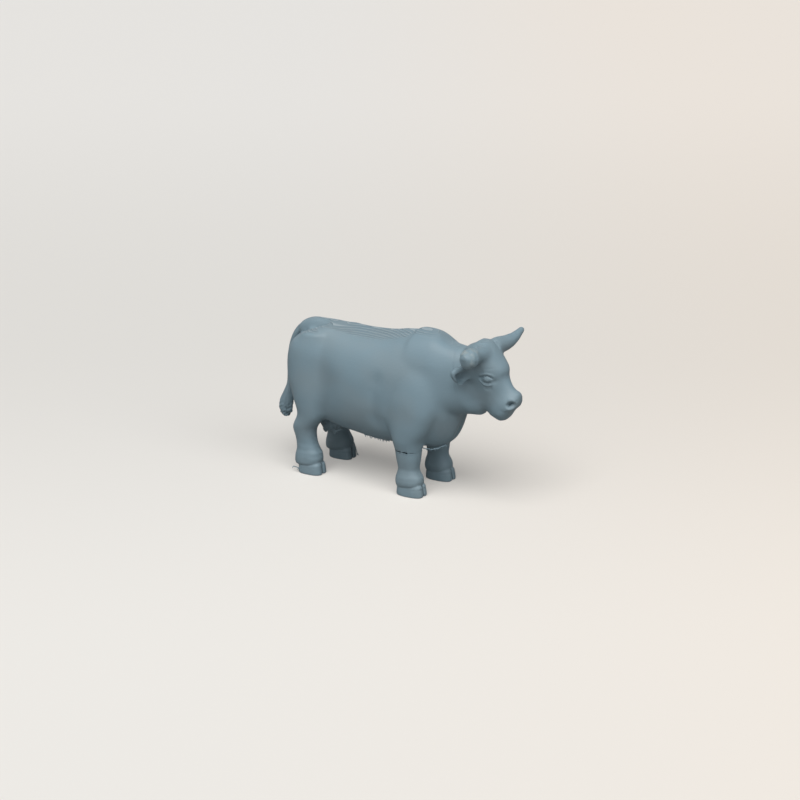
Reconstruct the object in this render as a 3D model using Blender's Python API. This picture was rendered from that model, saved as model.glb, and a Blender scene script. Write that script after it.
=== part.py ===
"""Toy cattle figure of printed plastic, standing on four hooves.

The body and the head are melted together from lofted masses and cut apart at the
seams. The lower legs are pinned to the body with dowels, the head sits on a neck
dowel, and the horns, ears, tail and udder plug into sockets of their own shape.
The nose points to +X, the figure's left side is +Y, and the soles stand on Z = 0.
"""

import math

import bmesh
import bpy
from mathutils import Matrix, Vector

MM = 0.001

AHEAD = Vector((1, 0, 0))
LEFT = Vector((0, 1, 0))
UP = Vector((0, 0, 1))

# Joints between the pieces
GLUE_GAP = 0.3 * MM
SEAM_HEIGHT = 16.2 * MM
SEAM_OVERRUN = 1.2 * MM
DOWEL_RADIUS = 1.6 * MM
DOWEL_DEPTH = 5.0 * MM
DOWEL_CHAMFER = 0.4 * MM
NECK_DOWEL_RADIUS = 2.2 * MM
NECK_DOWEL_DEPTH = 6.0 * MM

# Trunk
TRUNK_LENGTH = 67.8 * MM
TRUNK_CENTRE_X = 1.4 * MM
BACK_HEIGHT = 53.0 * MM
BELLY_HEIGHT = 15.4 * MM
TRUNK_WIDTH = 29.2 * MM

# Upper legs, sculpted with the trunk
TRACK = 19.2 * MM
WHEELBASE = 41.5 * MM
THIGH_TOP_DROP = 1.4 * MM
THIGH_DEPTH = 20.0 * MM
THIGH_WIDTH = 13.0 * MM
SHOULDER_TOP_DROP = 3.0 * MM
SHOULDER_DEPTH = 20.0 * MM
SHOULDER_WIDTH = 12.6 * MM

# Lower legs
LEG_DEPTH = 10.2 * MM
LEG_WIDTH = 8.2 * MM
CORONET_SLOPE = math.radians(13.0)

# Neck, measured from the front of the trunk and from the back
NECK_OVERLAP = 17.3 * MM
NECK_RUN = 25.0 * MM
NECK_AXIS_DROP = 10.7 * MM
NECK_DEPTH = 26.0 * MM
NECK_WIDTH = 18.4 * MM
NECK_SEAM_REACH = 1.9 * MM
NECK_SEAM_LEAN = math.radians(10.5)

# Tail head, the ridge over the rump that the tail grows from
RIDGE_OVERLAP = 14.5 * MM
RIDGE_RUN = 13.6 * MM
RIDGE_SINK = 1.7 * MM
RIDGE_RADIUS = 3.0 * MM

# Head, measured from the middle of the neck seam
POLL_REACH = 8.1 * MM
POLL_RISE = 15.4 * MM
HEAD_LENGTH = 26.5 * MM
HEAD_DEPTH = 16.6 * MM
HEAD_WIDTH = 12.0 * MM
HEAD_PITCH = math.radians(53.1)
BROW_RADIUS = 1.9 * MM
BROW_LENGTH = 3.0 * MM
EYE_RADIUS = 1.9 * MM
EYE_LENGTH = 2.5 * MM
NOSTRIL_RADIUS = 1.1 * MM
NOSTRIL_LENGTH = 1.5 * MM

# Horns
HORN_REACH = 12.7 * MM
HORN_RADIUS = 2.8 * MM

# Ears
EAR_LENGTH = 9.6 * MM
EAR_WIDTH = 6.6 * MM
EAR_BACKWARD = math.radians(26.0)
EAR_DROOP = math.radians(6.0)
EAR_ROLL = math.radians(15.0)

# Tail
TAIL_HANG = 33.9 * MM
TAIL_SWEEP = 7.6 * MM
TAIL_RADIUS = 2.1 * MM

# Udder
UDDER_FROM_AXLE = 2.55 * MM
UDDER_ROOT_RISE = 7.2 * MM
UDDER_DROP = 9.2 * MM
UDDER_LENGTH = 9.2 * MM
UDDER_WIDTH = 7.4 * MM
TEAT_SPREAD_X = 2.0 * MM
TEAT_SPREAD_Y = 1.6 * MM
TEAT_ROOT = 1.8 * MM
TEAT_LENGTH = 3.0 * MM
TEAT_RADIUS = 0.95 * MM

# Plastic, one colour moulded a shade apart from piece to piece
BODY_COLOUR = (0.172, 0.230, 0.262, 1.0)
LIMB_COLOUR = (0.166, 0.222, 0.252, 1.0)
TRIM_COLOUR = (0.182, 0.240, 0.270, 1.0)
PIN_COLOUR = (0.150, 0.200, 0.230, 1.0)
SATIN = 0.58
CHALKY = 0.66

# Resolution of the sculpted surfaces
BODY_VOXEL = 0.9 * MM
HEAD_VOXEL = 0.6 * MM
UDDER_VOXEL = 0.5 * MM
RING_COUNT = 24
TUBE_COUNT = 18
DOWEL_COUNT = 24
BALL_RINGS = 8
CLEFT_SHARPNESS = 6.0

# Trunk sections: place along, top, bottom, half width, squareness
TRUNK_SHARES = (
    (0.00, 0.70, 0.41, 0.31, 2.2),
    (0.045, 0.87, 0.31, 0.60, 2.3),
    (0.125, 0.955, 0.18, 0.84, 2.4),
    (0.27, 1.03, 0.07, 0.93, 2.7),
    (0.45, 1.02, 0.02, 1.00, 2.5),
    (0.61, 1.035, 0.00, 1.00, 2.4),
    (0.745, 1.085, 0.00, 0.92, 2.2),
    (0.86, 1.06, 0.03, 0.79, 2.2),
    (0.95, 0.92, 0.11, 0.58, 2.2),
    (1.00, 0.70, 0.27, 0.27, 2.2),
)
# Neck sections: place along, height of the centre, lean in half turns, half depth, half width
NECK_SHARES = (
    (0.00, -0.02, 0.00, 1.19, 1.30),
    (0.36, 0.00, 0.01, 1.15, 1.20),
    (0.60, -0.01, 0.03, 1.00, 1.02),
    (0.80, -0.015, 0.055, 0.91, 0.87),
    (1.00, 0.005, 0.10, 0.79, 0.65),
)
# Tail head sections: place along, height of the centre, radius
RIDGE_SHARES = (
    (0.00, -0.05, 0.80),
    (0.45, 0.00, 1.00),
    (0.75, -0.45, 0.96),
)
# End of the tail head: place along, height of the centre, radius as a share of the tail's
RIDGE_END_SHARES = (
    (0.93, -0.75, 1.00),
    (1.00, -0.95, 0.80),
)
# Upper leg sections: height, place fore and aft, half depth, place outwards, half width
THIGH_SHARES = (
    (0.038, -0.185, 0.48, 0.98, 0.75),
    (0.154, 0.07, 0.53, 0.95, 0.82),
    (0.237, 0.06, 0.615, 0.93, 0.87),
    (0.32, 0.04, 0.735, 0.91, 0.92),
    (0.432, 0.035, 0.84, 0.88, 0.98),
    (0.56, 0.02, 0.99, 0.83, 1.03),
    (0.80, 0.03, 0.95, 0.79, 0.98),
    (1.00, 0.06, 0.68, 0.71, 0.74),
)
SHOULDER_SHARES = (
    (0.10, -0.12, 0.54, 1.00, 0.78),
    (0.28, -0.04, 0.84, 0.95, 0.90),
    (0.55, 0.02, 1.00, 0.86, 1.00),
    (0.82, 0.02, 0.86, 0.70, 0.86),
    (1.00, 0.00, 0.55, 0.50, 0.56),
)
# Lower leg sections: height, place fore and aft, half depth, half width, cleft, slope
FORELEG_SHARES = (
    (0.00, 0.08, 0.97, 0.88, 0.26, 0.0),
    (0.09, 0.07, 0.96, 0.88, 0.26, 0.3),
    (0.185, 0.03, 0.90, 0.84, 0.14, 1.0),
    (0.205, -0.02, 0.86, 0.82, 0.0, 1.0),
    (0.235, -0.08, 0.95, 0.94, 0.0, 1.0),
    (0.31, -0.10, 0.985, 0.97, 0.0, 0.8),
    (0.40, -0.12, 0.94, 0.94, 0.0, 0.5),
    (0.50, -0.15, 0.80, 0.85, 0.0, 0.2),
    (0.585, -0.16, 0.73, 0.80, 0.0, 0.0),
    (0.70, -0.17, 0.77, 0.85, 0.0, 0.0),
    (0.85, -0.19, 0.86, 0.93, 0.0, 0.0),
    (1.00, -0.21, 0.89, 0.95, 0.0, 0.0),
)
HINDLEG_SHARES = (
    (0.00, 0.20, 0.86, 0.88, 0.26, 0.0),
    (0.09, 0.19, 0.86, 0.88, 0.26, 0.3),
    (0.185, 0.14, 0.82, 0.84, 0.14, 1.0),
    (0.205, 0.05, 0.82, 0.82, 0.0, 1.0),
    (0.25, -0.07, 0.97, 0.94, 0.0, 1.0),
    (0.32, -0.07, 1.00, 0.96, 0.0, 0.8),
    (0.40, -0.075, 0.957, 0.94, 0.0, 0.5),
    (0.47, -0.07, 0.91, 0.90, 0.0, 0.3),
    (0.556, -0.12, 0.79, 0.83, 0.0, 0.1),
    (0.667, -0.21, 0.72, 0.80, 0.0, 0.0),
    (0.74, -0.255, 0.70, 0.80, 0.0, 0.0),
    (0.86, -0.32, 0.71, 0.86, 0.0, 0.0),
    (1.00, -0.42, 0.82, 0.94, 0.0, 0.0),
)
# Head sections: place along, forehead line, jaw line, half width, widening to the top, squareness
HEAD_SHARES = (
    (-0.04, -0.14, -0.58, 0.50, 0.00, 2.2),
    (0.045, -0.01, -0.78, 0.87, 0.10, 2.3),
    (0.18, 0.02, -0.91, 1.00, 0.15, 2.4),
    (0.35, 0.01, -1.00, 1.00, 0.15, 2.4),
    (0.45, -0.02, -0.99, 0.93, 0.15, 2.3),
    (0.53, -0.10, -0.99, 0.83, 0.12, 2.3),
    (0.64, -0.165, -0.96, 0.70, 0.05, 2.2),
    (0.74, -0.155, -0.92, 0.67, 0.00, 2.2),
    (0.83, -0.11, -0.87, 0.72, 0.00, 2.3),
    (0.905, -0.14, -0.80, 0.71, 0.00, 2.4),
    (0.965, -0.27, -0.745, 0.56, 0.00, 2.3),
    (1.00, -0.41, -0.64, 0.30, 0.00, 2.2),
)
# Brow, eye and nostril: place along, height from the forehead line, place across
BROW_SHARES = (0.40, -0.17, 0.72)
EYE_SHARES = (0.44, -0.31, 0.81)
NOSTRIL_SHARES = (0.872, -0.21, 0.66)
# Roots of the horns and the ears on the head, in the same order
HORN_ROOT_SHARES = (0.12, -0.098, 0.867)
EAR_ROOT_SHARES = (0.287, -0.442, 0.90)
# Root of the tail on the ridge: place along, height of the centre
TAIL_ROOT_SHARES = (0.926, -0.74)
# Horn sections: outwards, ahead, upwards, radius
LEFT_HORN_SHARES = (
    (-0.20, 0.00, -0.02, 0.50),
    (-0.12, 0.00, -0.012, 0.60),
    (0.00, 0.00, 0.00, 1.00),
    (0.22, 0.04, 0.01, 0.86),
    (0.44, 0.09, 0.04, 0.70),
    (0.66, 0.13, 0.09, 0.56),
    (0.85, 0.15, 0.15, 0.43),
    (0.98, 0.16, 0.20, 0.34),
    (1.04, 0.165, 0.23, 0.18),
)
RIGHT_HORN_SHARES = (
    (-0.20, 0.00, -0.02, 0.50),
    (-0.12, 0.00, -0.012, 0.60),
    (0.00, 0.00, 0.00, 1.06),
    (0.20, 0.00, -0.02, 1.08),
    (0.40, -0.01, -0.05, 1.08),
    (0.58, -0.02, -0.08, 1.05),
    (0.71, -0.03, -0.10, 0.94),
    (0.79, -0.04, -0.115, 0.72),
    (0.83, -0.04, -0.12, 0.36),
)
# Ear sections: place along, half width, fullness of the back, fullness of the cupped face
EAR_SHARES = (
    (-0.22, 0.36, 0.36, 0.36),
    (0.00, 0.42, 0.42, 0.40),
    (0.15, 0.60, 0.56, 0.16),
    (0.30, 0.86, 0.72, -0.26),
    (0.50, 1.00, 0.80, -0.50),
    (0.70, 0.98, 0.74, -0.46),
    (0.86, 0.84, 0.58, -0.24),
    (0.96, 0.60, 0.38, -0.02),
    (1.00, 0.34, 0.22, 0.06),
)
# How far the ear's upper edge runs ahead of its lower edge at the tip, as a share of its width
EAR_SLANT_SHARE = 0.45
# Tail sections: downwards, backwards, radius fore and aft, radius across
TAIL_SHARES = (
    (-0.055, -0.36, 0.50, 0.50),
    (-0.03, -0.20, 0.58, 0.58),
    (0.00, 0.00, 0.90, 0.90),
    (0.10, 0.34, 0.86, 0.86),
    (0.25, 0.58, 0.78, 0.78),
    (0.45, 0.68, 0.70, 0.70),
    (0.62, 0.72, 0.72, 0.70),
    (0.74, 0.84, 1.05, 0.90),
    (0.86, 1.00, 1.36, 1.10),
    (0.94, 1.02, 1.18, 0.95),
    (0.99, 1.00, 0.70, 0.60),
    (1.00, 1.00, 0.40, 0.34),
)
# Udder sections: downwards, radius
UDDER_SHARES = (
    (0.00, 0.72),
    (0.28, 0.78),
    (0.42, 0.92),
    (0.60, 1.00),
    (0.80, 0.92),
    (0.94, 0.66),
    (1.00, 0.32),
)
TEAT_SHARES = (
    (0.00, 1.00),
    (0.60, 0.86),
    (0.90, 0.66),
    (1.00, 0.30),
)


def interpolate(rows, steps):
    """Rows on a smooth curve through the given rows, with steps to each interval."""
    smooth = []
    for i in range(len(rows) - 1):
        before, start = rows[max(i - 1, 0)], rows[i]
        end, after = rows[i + 1], rows[min(i + 2, len(rows) - 1)]
        for step in range(steps):
            t = step / steps
            smooth.append(tuple(
                b + 0.5 * t * (c - a + t * (2 * a - 5 * b + 4 * c - d + t * (3 * (b - c) + d - a)))
                for a, b, c, d in zip(before, start, end, after)
            ))
    smooth.append(rows[-1])
    return smooth


def signed_power(value, power):
    return math.copysign(abs(value) ** power, value)


def oval(half_across, up, down, square=2.2, egg=0.0, cleft=0.0, points=RING_COUNT):
    """Points (across, vertical) of a squared oval, with an optional cleft at its +across end."""
    outline = []
    for i in range(points):
        angle = 2 * math.pi * i / points
        c, s = math.cos(angle), math.sin(angle)
        turn = math.remainder(angle, 2 * math.pi)
        shrink = 1 - cleft * math.exp(-((turn * CLEFT_SHARPNESS) ** 2))
        across = half_across * signed_power(c, 2 / square) * (1 + egg * s) * shrink
        vertical = (up if s > 0 else down) * signed_power(s, 2 / square)
        outline.append((across, vertical))
    return outline


def ring(outline, centre, across, up):
    return [centre + across * a + up * b for a, b in outline]


def loft(name, rings):
    """One closed mesh through rings of points."""
    mesh = bpy.data.meshes.new(name)
    shape = bmesh.new()
    loops = [[shape.verts.new(point) for point in points] for points in rings]
    for lower, upper in zip(loops, loops[1:]):
        for i in range(len(lower)):
            j = (i + 1) % len(lower)
            shape.faces.new((lower[i], lower[j], upper[j], upper[i]))
    shape.faces.new(loops[0])
    shape.faces.new(loops[-1])
    bmesh.ops.recalc_face_normals(shape, faces=shape.faces)
    shape.to_mesh(mesh)
    shape.free()
    thing = bpy.data.objects.new(name, mesh)
    bpy.context.scene.collection.objects.link(thing)
    return thing


def tube(name, rows, grow=0.0):
    """A loft round a centre line; each row gives a centre, a radius in the plane and one across."""
    centres = [Vector(row[0]) for row in rows]
    if grow:
        centres[0] += (centres[0] - centres[1]).normalized() * grow
    rings = []
    for i, row in enumerate(rows):
        run = (centres[min(i + 1, len(rows) - 1)] - centres[max(i - 1, 0)]).normalized()
        side = row[3]
        across = (side - run * side.dot(run)).normalized()
        outline = oval(row[2] + grow, row[1] + grow, row[1] + grow, 2.0, points=TUBE_COUNT)
        rings.append(ring(outline, centres[i], across, run.cross(across)))
    return loft(name, rings)


def apply_modifiers(thing):
    graph = bpy.context.evaluated_depsgraph_get()
    result = bpy.data.meshes.new_from_object(thing.evaluated_get(graph))
    thing.modifiers.clear()
    thing.data = result


def melt(name, masses, voxel, smoothing, keep):
    """The masses melted into one skin."""
    mesh = bpy.data.meshes.new(name)
    shape = bmesh.new()
    for mass in masses:
        shape.from_mesh(mass.data)
    shape.to_mesh(mesh)
    shape.free()
    for mass in masses:
        bpy.data.objects.remove(mass)
    thing = bpy.data.objects.new(name, mesh)
    bpy.context.scene.collection.objects.link(thing)
    remesh = thing.modifiers.new("melt", "REMESH")
    remesh.mode = "VOXEL"
    remesh.voxel_size = voxel
    smooth = thing.modifiers.new("smooth", "SMOOTH")
    smooth.factor = 0.5
    smooth.iterations = smoothing
    thin = thing.modifiers.new("thin", "DECIMATE")
    thin.ratio = keep
    apply_modifiers(thing)
    return thing


def cut_away(thing, point, normal):
    """Everything on the side the normal points to is cut off, and the cut is closed."""
    shape = bmesh.new()
    shape.from_mesh(thing.data)
    parts = shape.verts[:] + shape.edges[:] + shape.faces[:]
    bmesh.ops.bisect_plane(shape, geom=parts, plane_co=point, plane_no=normal, clear_outer=True)
    rim = [edge for edge in shape.edges if edge.is_boundary]
    bmesh.ops.holes_fill(shape, edges=rim, sides=0)
    bmesh.ops.recalc_face_normals(shape, faces=shape.faces)
    shape.to_mesh(thing.data)
    shape.free()


def subtract(thing, cutter):
    carve = thing.modifiers.new("carve", "BOOLEAN")
    carve.operation = "DIFFERENCE"
    carve.solver = "EXACT"
    carve.object = cutter
    apply_modifiers(thing)
    bpy.data.objects.remove(cutter)


def dowel(name, centre, direction, radius, depth, grow=0.0):
    """A round pin with chamfered ends, centred on a seam."""
    side = LEFT if abs(direction.dot(LEFT)) < 0.5 else AHEAD
    across = (side - direction * side.dot(direction)).normalized()
    up = direction.cross(across)
    rings = []
    for end, step, inset in ((-1, 0.0, DOWEL_CHAMFER), (-1, DOWEL_CHAMFER, 0.0),
                             (1, DOWEL_CHAMFER, 0.0), (1, 0.0, DOWEL_CHAMFER)):
        size = radius - inset + grow
        middle = centre + direction * end * (depth + grow - step)
        rings.append(ring(oval(size, size, size, 2.0, points=DOWEL_COUNT), middle, across, up))
    return loft(name, rings)


def trunk_rear():
    return TRUNK_CENTRE_X - TRUNK_LENGTH / 2


def trunk_front():
    return TRUNK_CENTRE_X + TRUNK_LENGTH / 2


def trunk_mass():
    rings = []
    depth = BACK_HEIGHT - BELLY_HEIGHT
    for along, top, bottom, half_width, square in interpolate(TRUNK_SHARES, 3):
        x = trunk_rear() + along * TRUNK_LENGTH
        middle = BELLY_HEIGHT + depth * (top + bottom) / 2
        half_depth = depth * (top - bottom) / 2
        outline = oval(half_width * TRUNK_WIDTH / 2, half_depth, half_depth, square)
        rings.append(ring(outline, Vector((x, 0, middle)), LEFT, UP))
    return loft("trunk_mass", rings)


def neck_mass():
    root = Vector((trunk_front() - NECK_OVERLAP, 0, BACK_HEIGHT - NECK_AXIS_DROP))
    rings = []
    for along, height, lean, half_depth, half_width in interpolate(NECK_SHARES, 3):
        centre = root + AHEAD * along * NECK_RUN + UP * height * NECK_DEPTH
        up = Matrix.Rotation(-lean * math.pi, 3, LEFT) @ UP
        outline = oval(half_width * NECK_WIDTH / 2, half_depth * NECK_DEPTH / 2, half_depth * NECK_DEPTH / 2)
        rings.append(ring(outline, centre, LEFT, up))
    return loft("neck_mass", rings)


def ridge_point(along, height):
    start = Vector((trunk_rear() + RIDGE_OVERLAP, 0, BACK_HEIGHT - RIDGE_SINK))
    return start - AHEAD * along * RIDGE_RUN + UP * height * RIDGE_RADIUS


def ridge_mass():
    rows = []
    for shares, carrier in ((RIDGE_SHARES, RIDGE_RADIUS), (RIDGE_END_SHARES, TAIL_RADIUS)):
        for along, height, radius in shares:
            rows.append((ridge_point(along, height), radius * carrier, radius * carrier, LEFT))
    return tube("ridge_mass", rows)


def leg_rings(side, axle_x, shares):
    rings = []
    for height, fore, half_depth, half_width, cleft, slope in shares:
        centre = Vector((axle_x + fore * LEG_DEPTH / 2, side * TRACK / 2, height * SEAM_HEIGHT))
        half = half_width * LEG_WIDTH / 2
        outline = oval(half_depth * LEG_DEPTH / 2, half, half, 2.4, 0, cleft)
        ahead = Matrix.Rotation(-slope * CORONET_SLOPE, 3, LEFT) @ AHEAD
        rings.append(ring(outline, centre, ahead, LEFT))
    return rings


def upper_leg_mass(side, axle_x, shares, leg_shares, top_drop, depth, width):
    """The thigh or shoulder, from just under the seam up into the trunk."""
    seam_ring = leg_rings(side, axle_x, leg_shares)[-1]
    rings = [[point - UP * SEAM_OVERRUN for point in seam_ring], seam_ring]
    for height, fore, half_depth, outwards, half_width in interpolate(shares, 2):
        z = SEAM_HEIGHT + height * (BACK_HEIGHT - top_drop - SEAM_HEIGHT)
        centre = Vector((axle_x + fore * depth / 2, side * outwards * TRACK / 2, z))
        half = half_width * width / 2
        rings.append(ring(oval(half_depth * depth / 2, half, half, 2.3), centre, AHEAD, LEFT))
    return loft("upper_leg_mass", rings)


def head_point(along, height, across):
    face = Matrix.Rotation(HEAD_PITCH, 3, LEFT)
    place = face @ Vector((along * HEAD_LENGTH, 0, height * HEAD_DEPTH))
    poll = neck_seam()[0] + AHEAD * POLL_REACH + UP * POLL_RISE
    return poll + LEFT * across * HEAD_WIDTH / 2 + place


def head_mass():
    forehead = Matrix.Rotation(HEAD_PITCH, 3, LEFT) @ UP
    rings = []
    for along, top, bottom, half_width, egg, square in interpolate(HEAD_SHARES, 3):
        half = (top - bottom) / 2 * HEAD_DEPTH
        outline = oval(half_width * HEAD_WIDTH / 2, half, half, square, egg)
        rings.append(ring(outline, head_point(along, (top + bottom) / 2, 0), LEFT, forehead))
    return loft("head_mass", rings)


def ball(name, centre, along, radius, length):
    """An egg-shaped lump that lies along a direction."""
    rows = []
    for i in range(BALL_RINGS + 1):
        angle = math.pi * (i + 0.5) / (BALL_RINGS + 1)
        swell = radius * math.sin(angle)
        rows.append((centre - along * length * math.cos(angle), swell, swell, LEFT))
    return tube(name, rows)


def face_direction():
    return Matrix.Rotation(HEAD_PITCH, 3, LEFT) @ AHEAD


def face_ball(side, shares, radius, length):
    along, height, across = shares
    return ball("face_ball", head_point(along, height, side * across), face_direction(), radius, length)


def front_masses():
    """Everything that meets at the neck seam."""
    masses = [trunk_mass(), neck_mass(), head_mass()]
    for side in (-1, 1):
        masses.append(upper_leg_mass(
            side, WHEELBASE / 2, SHOULDER_SHARES, FORELEG_SHARES, SHOULDER_TOP_DROP, SHOULDER_DEPTH, SHOULDER_WIDTH))
    return masses


def rear_masses():
    masses = [ridge_mass()]
    for side in (-1, 1):
        masses.append(upper_leg_mass(
            side, -WHEELBASE / 2, THIGH_SHARES, HINDLEG_SHARES, THIGH_TOP_DROP, THIGH_DEPTH, THIGH_WIDTH))
    return masses


def face_masses():
    masses = []
    for side in (-1, 1):
        masses.append(face_ball(side, BROW_SHARES, BROW_RADIUS, BROW_LENGTH))
        masses.append(face_ball(side, EYE_SHARES, EYE_RADIUS, EYE_LENGTH))
    return masses


def neck_seam():
    """A point on the neck seam and its normal towards the head."""
    normal = Matrix.Rotation(-NECK_SEAM_LEAN, 3, LEFT) @ AHEAD
    return Vector((trunk_front() + NECK_SEAM_REACH, 0, BACK_HEIGHT - NECK_AXIS_DROP)), normal


def horn_base(side):
    along, height, across = HORN_ROOT_SHARES
    return head_point(along, height, side * across)


def horn(side, grow=0.0):
    rows = []
    for out, ahead, rise, radius in LEFT_HORN_SHARES if side > 0 else RIGHT_HORN_SHARES:
        place = horn_base(side) + Vector((ahead, side * out, rise)) * HORN_REACH
        rows.append((place, radius * HORN_RADIUS, radius * HORN_RADIUS, UP))
    return tube("horn", rows, grow)


def ear_base(side):
    along, height, across = EAR_ROOT_SHARES
    return head_point(along, height, side * across)


def ear(side, grow=0.0):
    """The cupped ear; grown for its socket, it is full where the ear is cupped."""
    reach = Vector((-math.sin(EAR_BACKWARD), side * math.cos(EAR_BACKWARD), -math.sin(EAR_DROOP))).normalized()
    edge = (UP - reach * UP.dot(reach)).normalized()
    edge = Matrix.Rotation(side * EAR_ROLL, 3, reach) @ edge
    back = edge.cross(reach) * side
    half = EAR_WIDTH / 2
    rings = []
    for along, half_width, fullness, cup in EAR_SHARES:
        inner = max(cup, 0.0) if grow else cup
        outline = oval(half_width * half + grow, fullness * half + grow, inner * half + grow, points=TUBE_COUNT)
        slanted = edge + reach * along * EAR_SLANT_SHARE
        rings.append(ring(outline, ear_base(side) + reach * along * EAR_LENGTH, slanted, back))
    return loft("ear", rings)


def tail_base():
    return ridge_point(*TAIL_ROOT_SHARES)


def tail(grow=0.0):
    rows = []
    for down, back, fore_radius, side_radius in TAIL_SHARES:
        place = tail_base() - AHEAD * back * TAIL_SWEEP - UP * down * TAIL_HANG
        rows.append((place, fore_radius * TAIL_RADIUS, side_radius * TAIL_RADIUS, LEFT))
    return tube("tail", rows, grow)


def udder_base():
    return Vector((UDDER_FROM_AXLE - WHEELBASE / 2, 0, BELLY_HEIGHT + UDDER_ROOT_RISE))


def udder_bag(grow=0.0):
    rings = []
    for down, radius in UDDER_SHARES:
        half = radius * UDDER_WIDTH / 2 + grow
        outline = oval(radius * UDDER_LENGTH / 2 + grow, half, half, points=TUBE_COUNT)
        rings.append(ring(outline, udder_base() - UP * down * UDDER_DROP, AHEAD, LEFT))
    if grow:
        rings.insert(0, [point + UP * grow for point in rings[0]])
    return loft("udder_bag", rings)


def teat(fore, side):
    rows = []
    for down, radius in TEAT_SHARES:
        place = udder_base() + Vector((fore * TEAT_SPREAD_X, side * TEAT_SPREAD_Y, TEAT_ROOT - UDDER_DROP))
        place -= UP * down * TEAT_LENGTH
        rows.append((place, radius * TEAT_RADIUS, radius * TEAT_RADIUS, LEFT))
    return tube("teat", rows)


def finish(thing, name, seat, figure, colour, roughness):
    """The piece takes its name, its origin on its seat, its parent and its plastic."""
    thing.name = name
    thing.data.name = name
    thing.data.transform(Matrix.Translation(-seat))
    thing.location = seat
    thing.parent = figure
    plastic = bpy.data.materials.new(name + "_plastic")
    plastic.use_nodes = True
    shader = plastic.node_tree.nodes["Principled BSDF"]
    shader.inputs["Base Color"].default_value = colour
    shader.inputs["Roughness"].default_value = roughness
    shader.inputs["Metallic"].default_value = 0.0
    thing.data.materials.clear()
    thing.data.materials.append(plastic)


def make_leg(side, axle_x, shares, name, body, figure):
    """A lower leg and its dowel, and their sockets."""
    leg = loft("leg", leg_rings(side, axle_x, shares))
    seat = Vector((axle_x + shares[-1][1] * LEG_DEPTH / 2, side * TRACK / 2, SEAM_HEIGHT))
    cut_away(leg, seat - UP * GLUE_GAP / 2, UP)
    for host in (leg, body):
        subtract(host, dowel("socket", seat, UP, DOWEL_RADIUS, DOWEL_DEPTH, GLUE_GAP))
    pin = dowel("pin", seat, UP, DOWEL_RADIUS, DOWEL_DEPTH)
    label = "left" if side > 0 else "right"
    finish(leg, f"{name}_{label}", seat, figure, LIMB_COLOUR, SATIN)
    finish(pin, f"{name}_dowel_{label}", seat, figure, PIN_COLOUR, SATIN)


def make_horn_and_ear(side, head, figure):
    label = "left" if side > 0 else "right"
    subtract(head, horn(side, GLUE_GAP))
    subtract(head, ear(side, GLUE_GAP))
    subtract(head, face_ball(side, NOSTRIL_SHARES, NOSTRIL_RADIUS, NOSTRIL_LENGTH))
    finish(horn(side), f"horn_{label}", horn_base(side), figure, TRIM_COLOUR, SATIN)
    finish(ear(side), f"ear_{label}", ear_base(side), figure, TRIM_COLOUR, SATIN)


def make_tail_and_udder(body, figure):
    subtract(body, tail(GLUE_GAP))
    finish(tail(), "tail", tail_base(), figure, LIMB_COLOUR, CHALKY)
    subtract(body, udder_bag(GLUE_GAP))
    teats = [teat(fore, side) for fore in (-1, 1) for side in (-1, 1)]
    udder = melt("udder", [udder_bag()] + teats, UDDER_VOXEL, 2, 0.35)
    finish(udder, "udder", udder_base(), figure, LIMB_COLOUR, CHALKY)


def centre_on_origin(figure):
    """The figure moves so that its bounding box is centred over the origin."""
    bpy.context.view_layer.update()
    corners = [
        piece.matrix_world @ vertex.co
        for piece in figure.children
        for vertex in piece.data.vertices
    ]
    for axis in range(2):
        low = min(corner[axis] for corner in corners)
        high = max(corner[axis] for corner in corners)
        figure.location[axis] = -(low + high) / 2


def main():
    for thing in list(bpy.data.objects):
        bpy.data.objects.remove(thing)
    figure = bpy.data.objects.new("cattle_figure", None)
    bpy.context.scene.collection.objects.link(figure)

    body = melt("body", front_masses() + rear_masses(), BODY_VOXEL, 10, 0.14)
    head = melt("head", front_masses() + face_masses(), HEAD_VOXEL, 4, 0.2)
    seam, normal = neck_seam()
    cut_away(body, seam - normal * GLUE_GAP / 2, normal)
    cut_away(head, seam + normal * GLUE_GAP / 2, -normal)
    cut_away(body, UP * (SEAM_HEIGHT + GLUE_GAP / 2), -UP)
    for host in (body, head):
        subtract(host, dowel("socket", seam, normal, NECK_DOWEL_RADIUS, NECK_DOWEL_DEPTH, GLUE_GAP))
    pin = dowel("pin", seam, normal, NECK_DOWEL_RADIUS, NECK_DOWEL_DEPTH)
    finish(pin, "neck_dowel", seam, figure, PIN_COLOUR, SATIN)

    for side in (-1, 1):
        make_leg(side, WHEELBASE / 2, FORELEG_SHARES, "foreleg", body, figure)
        make_leg(side, -WHEELBASE / 2, HINDLEG_SHARES, "hindleg", body, figure)
        make_horn_and_ear(side, head, figure)
    make_tail_and_udder(body, figure)
    finish(body, "body", UP * SEAM_HEIGHT, figure, BODY_COLOUR, SATIN)
    finish(head, "head", seam, figure, BODY_COLOUR, SATIN)
    centre_on_origin(figure)


main()
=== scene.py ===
"""Printed cattle figure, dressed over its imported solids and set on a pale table.

The sculpting code works in millimetres in the figure's own frame: the nose points to +X,
the figure's left side is +Y, X = 0 lies halfway between the front and the hind legs, and
the soles stand on Z = 0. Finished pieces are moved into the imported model's frame, in metres.
"""

import math
from contextlib import contextmanager

import bmesh
import bpy
import numpy as np
from bpy.props import FloatProperty, FloatVectorProperty, IntProperty, PointerProperty
from mathutils import Matrix, Vector
from mathutils.bvhtree import BVHTree


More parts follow.
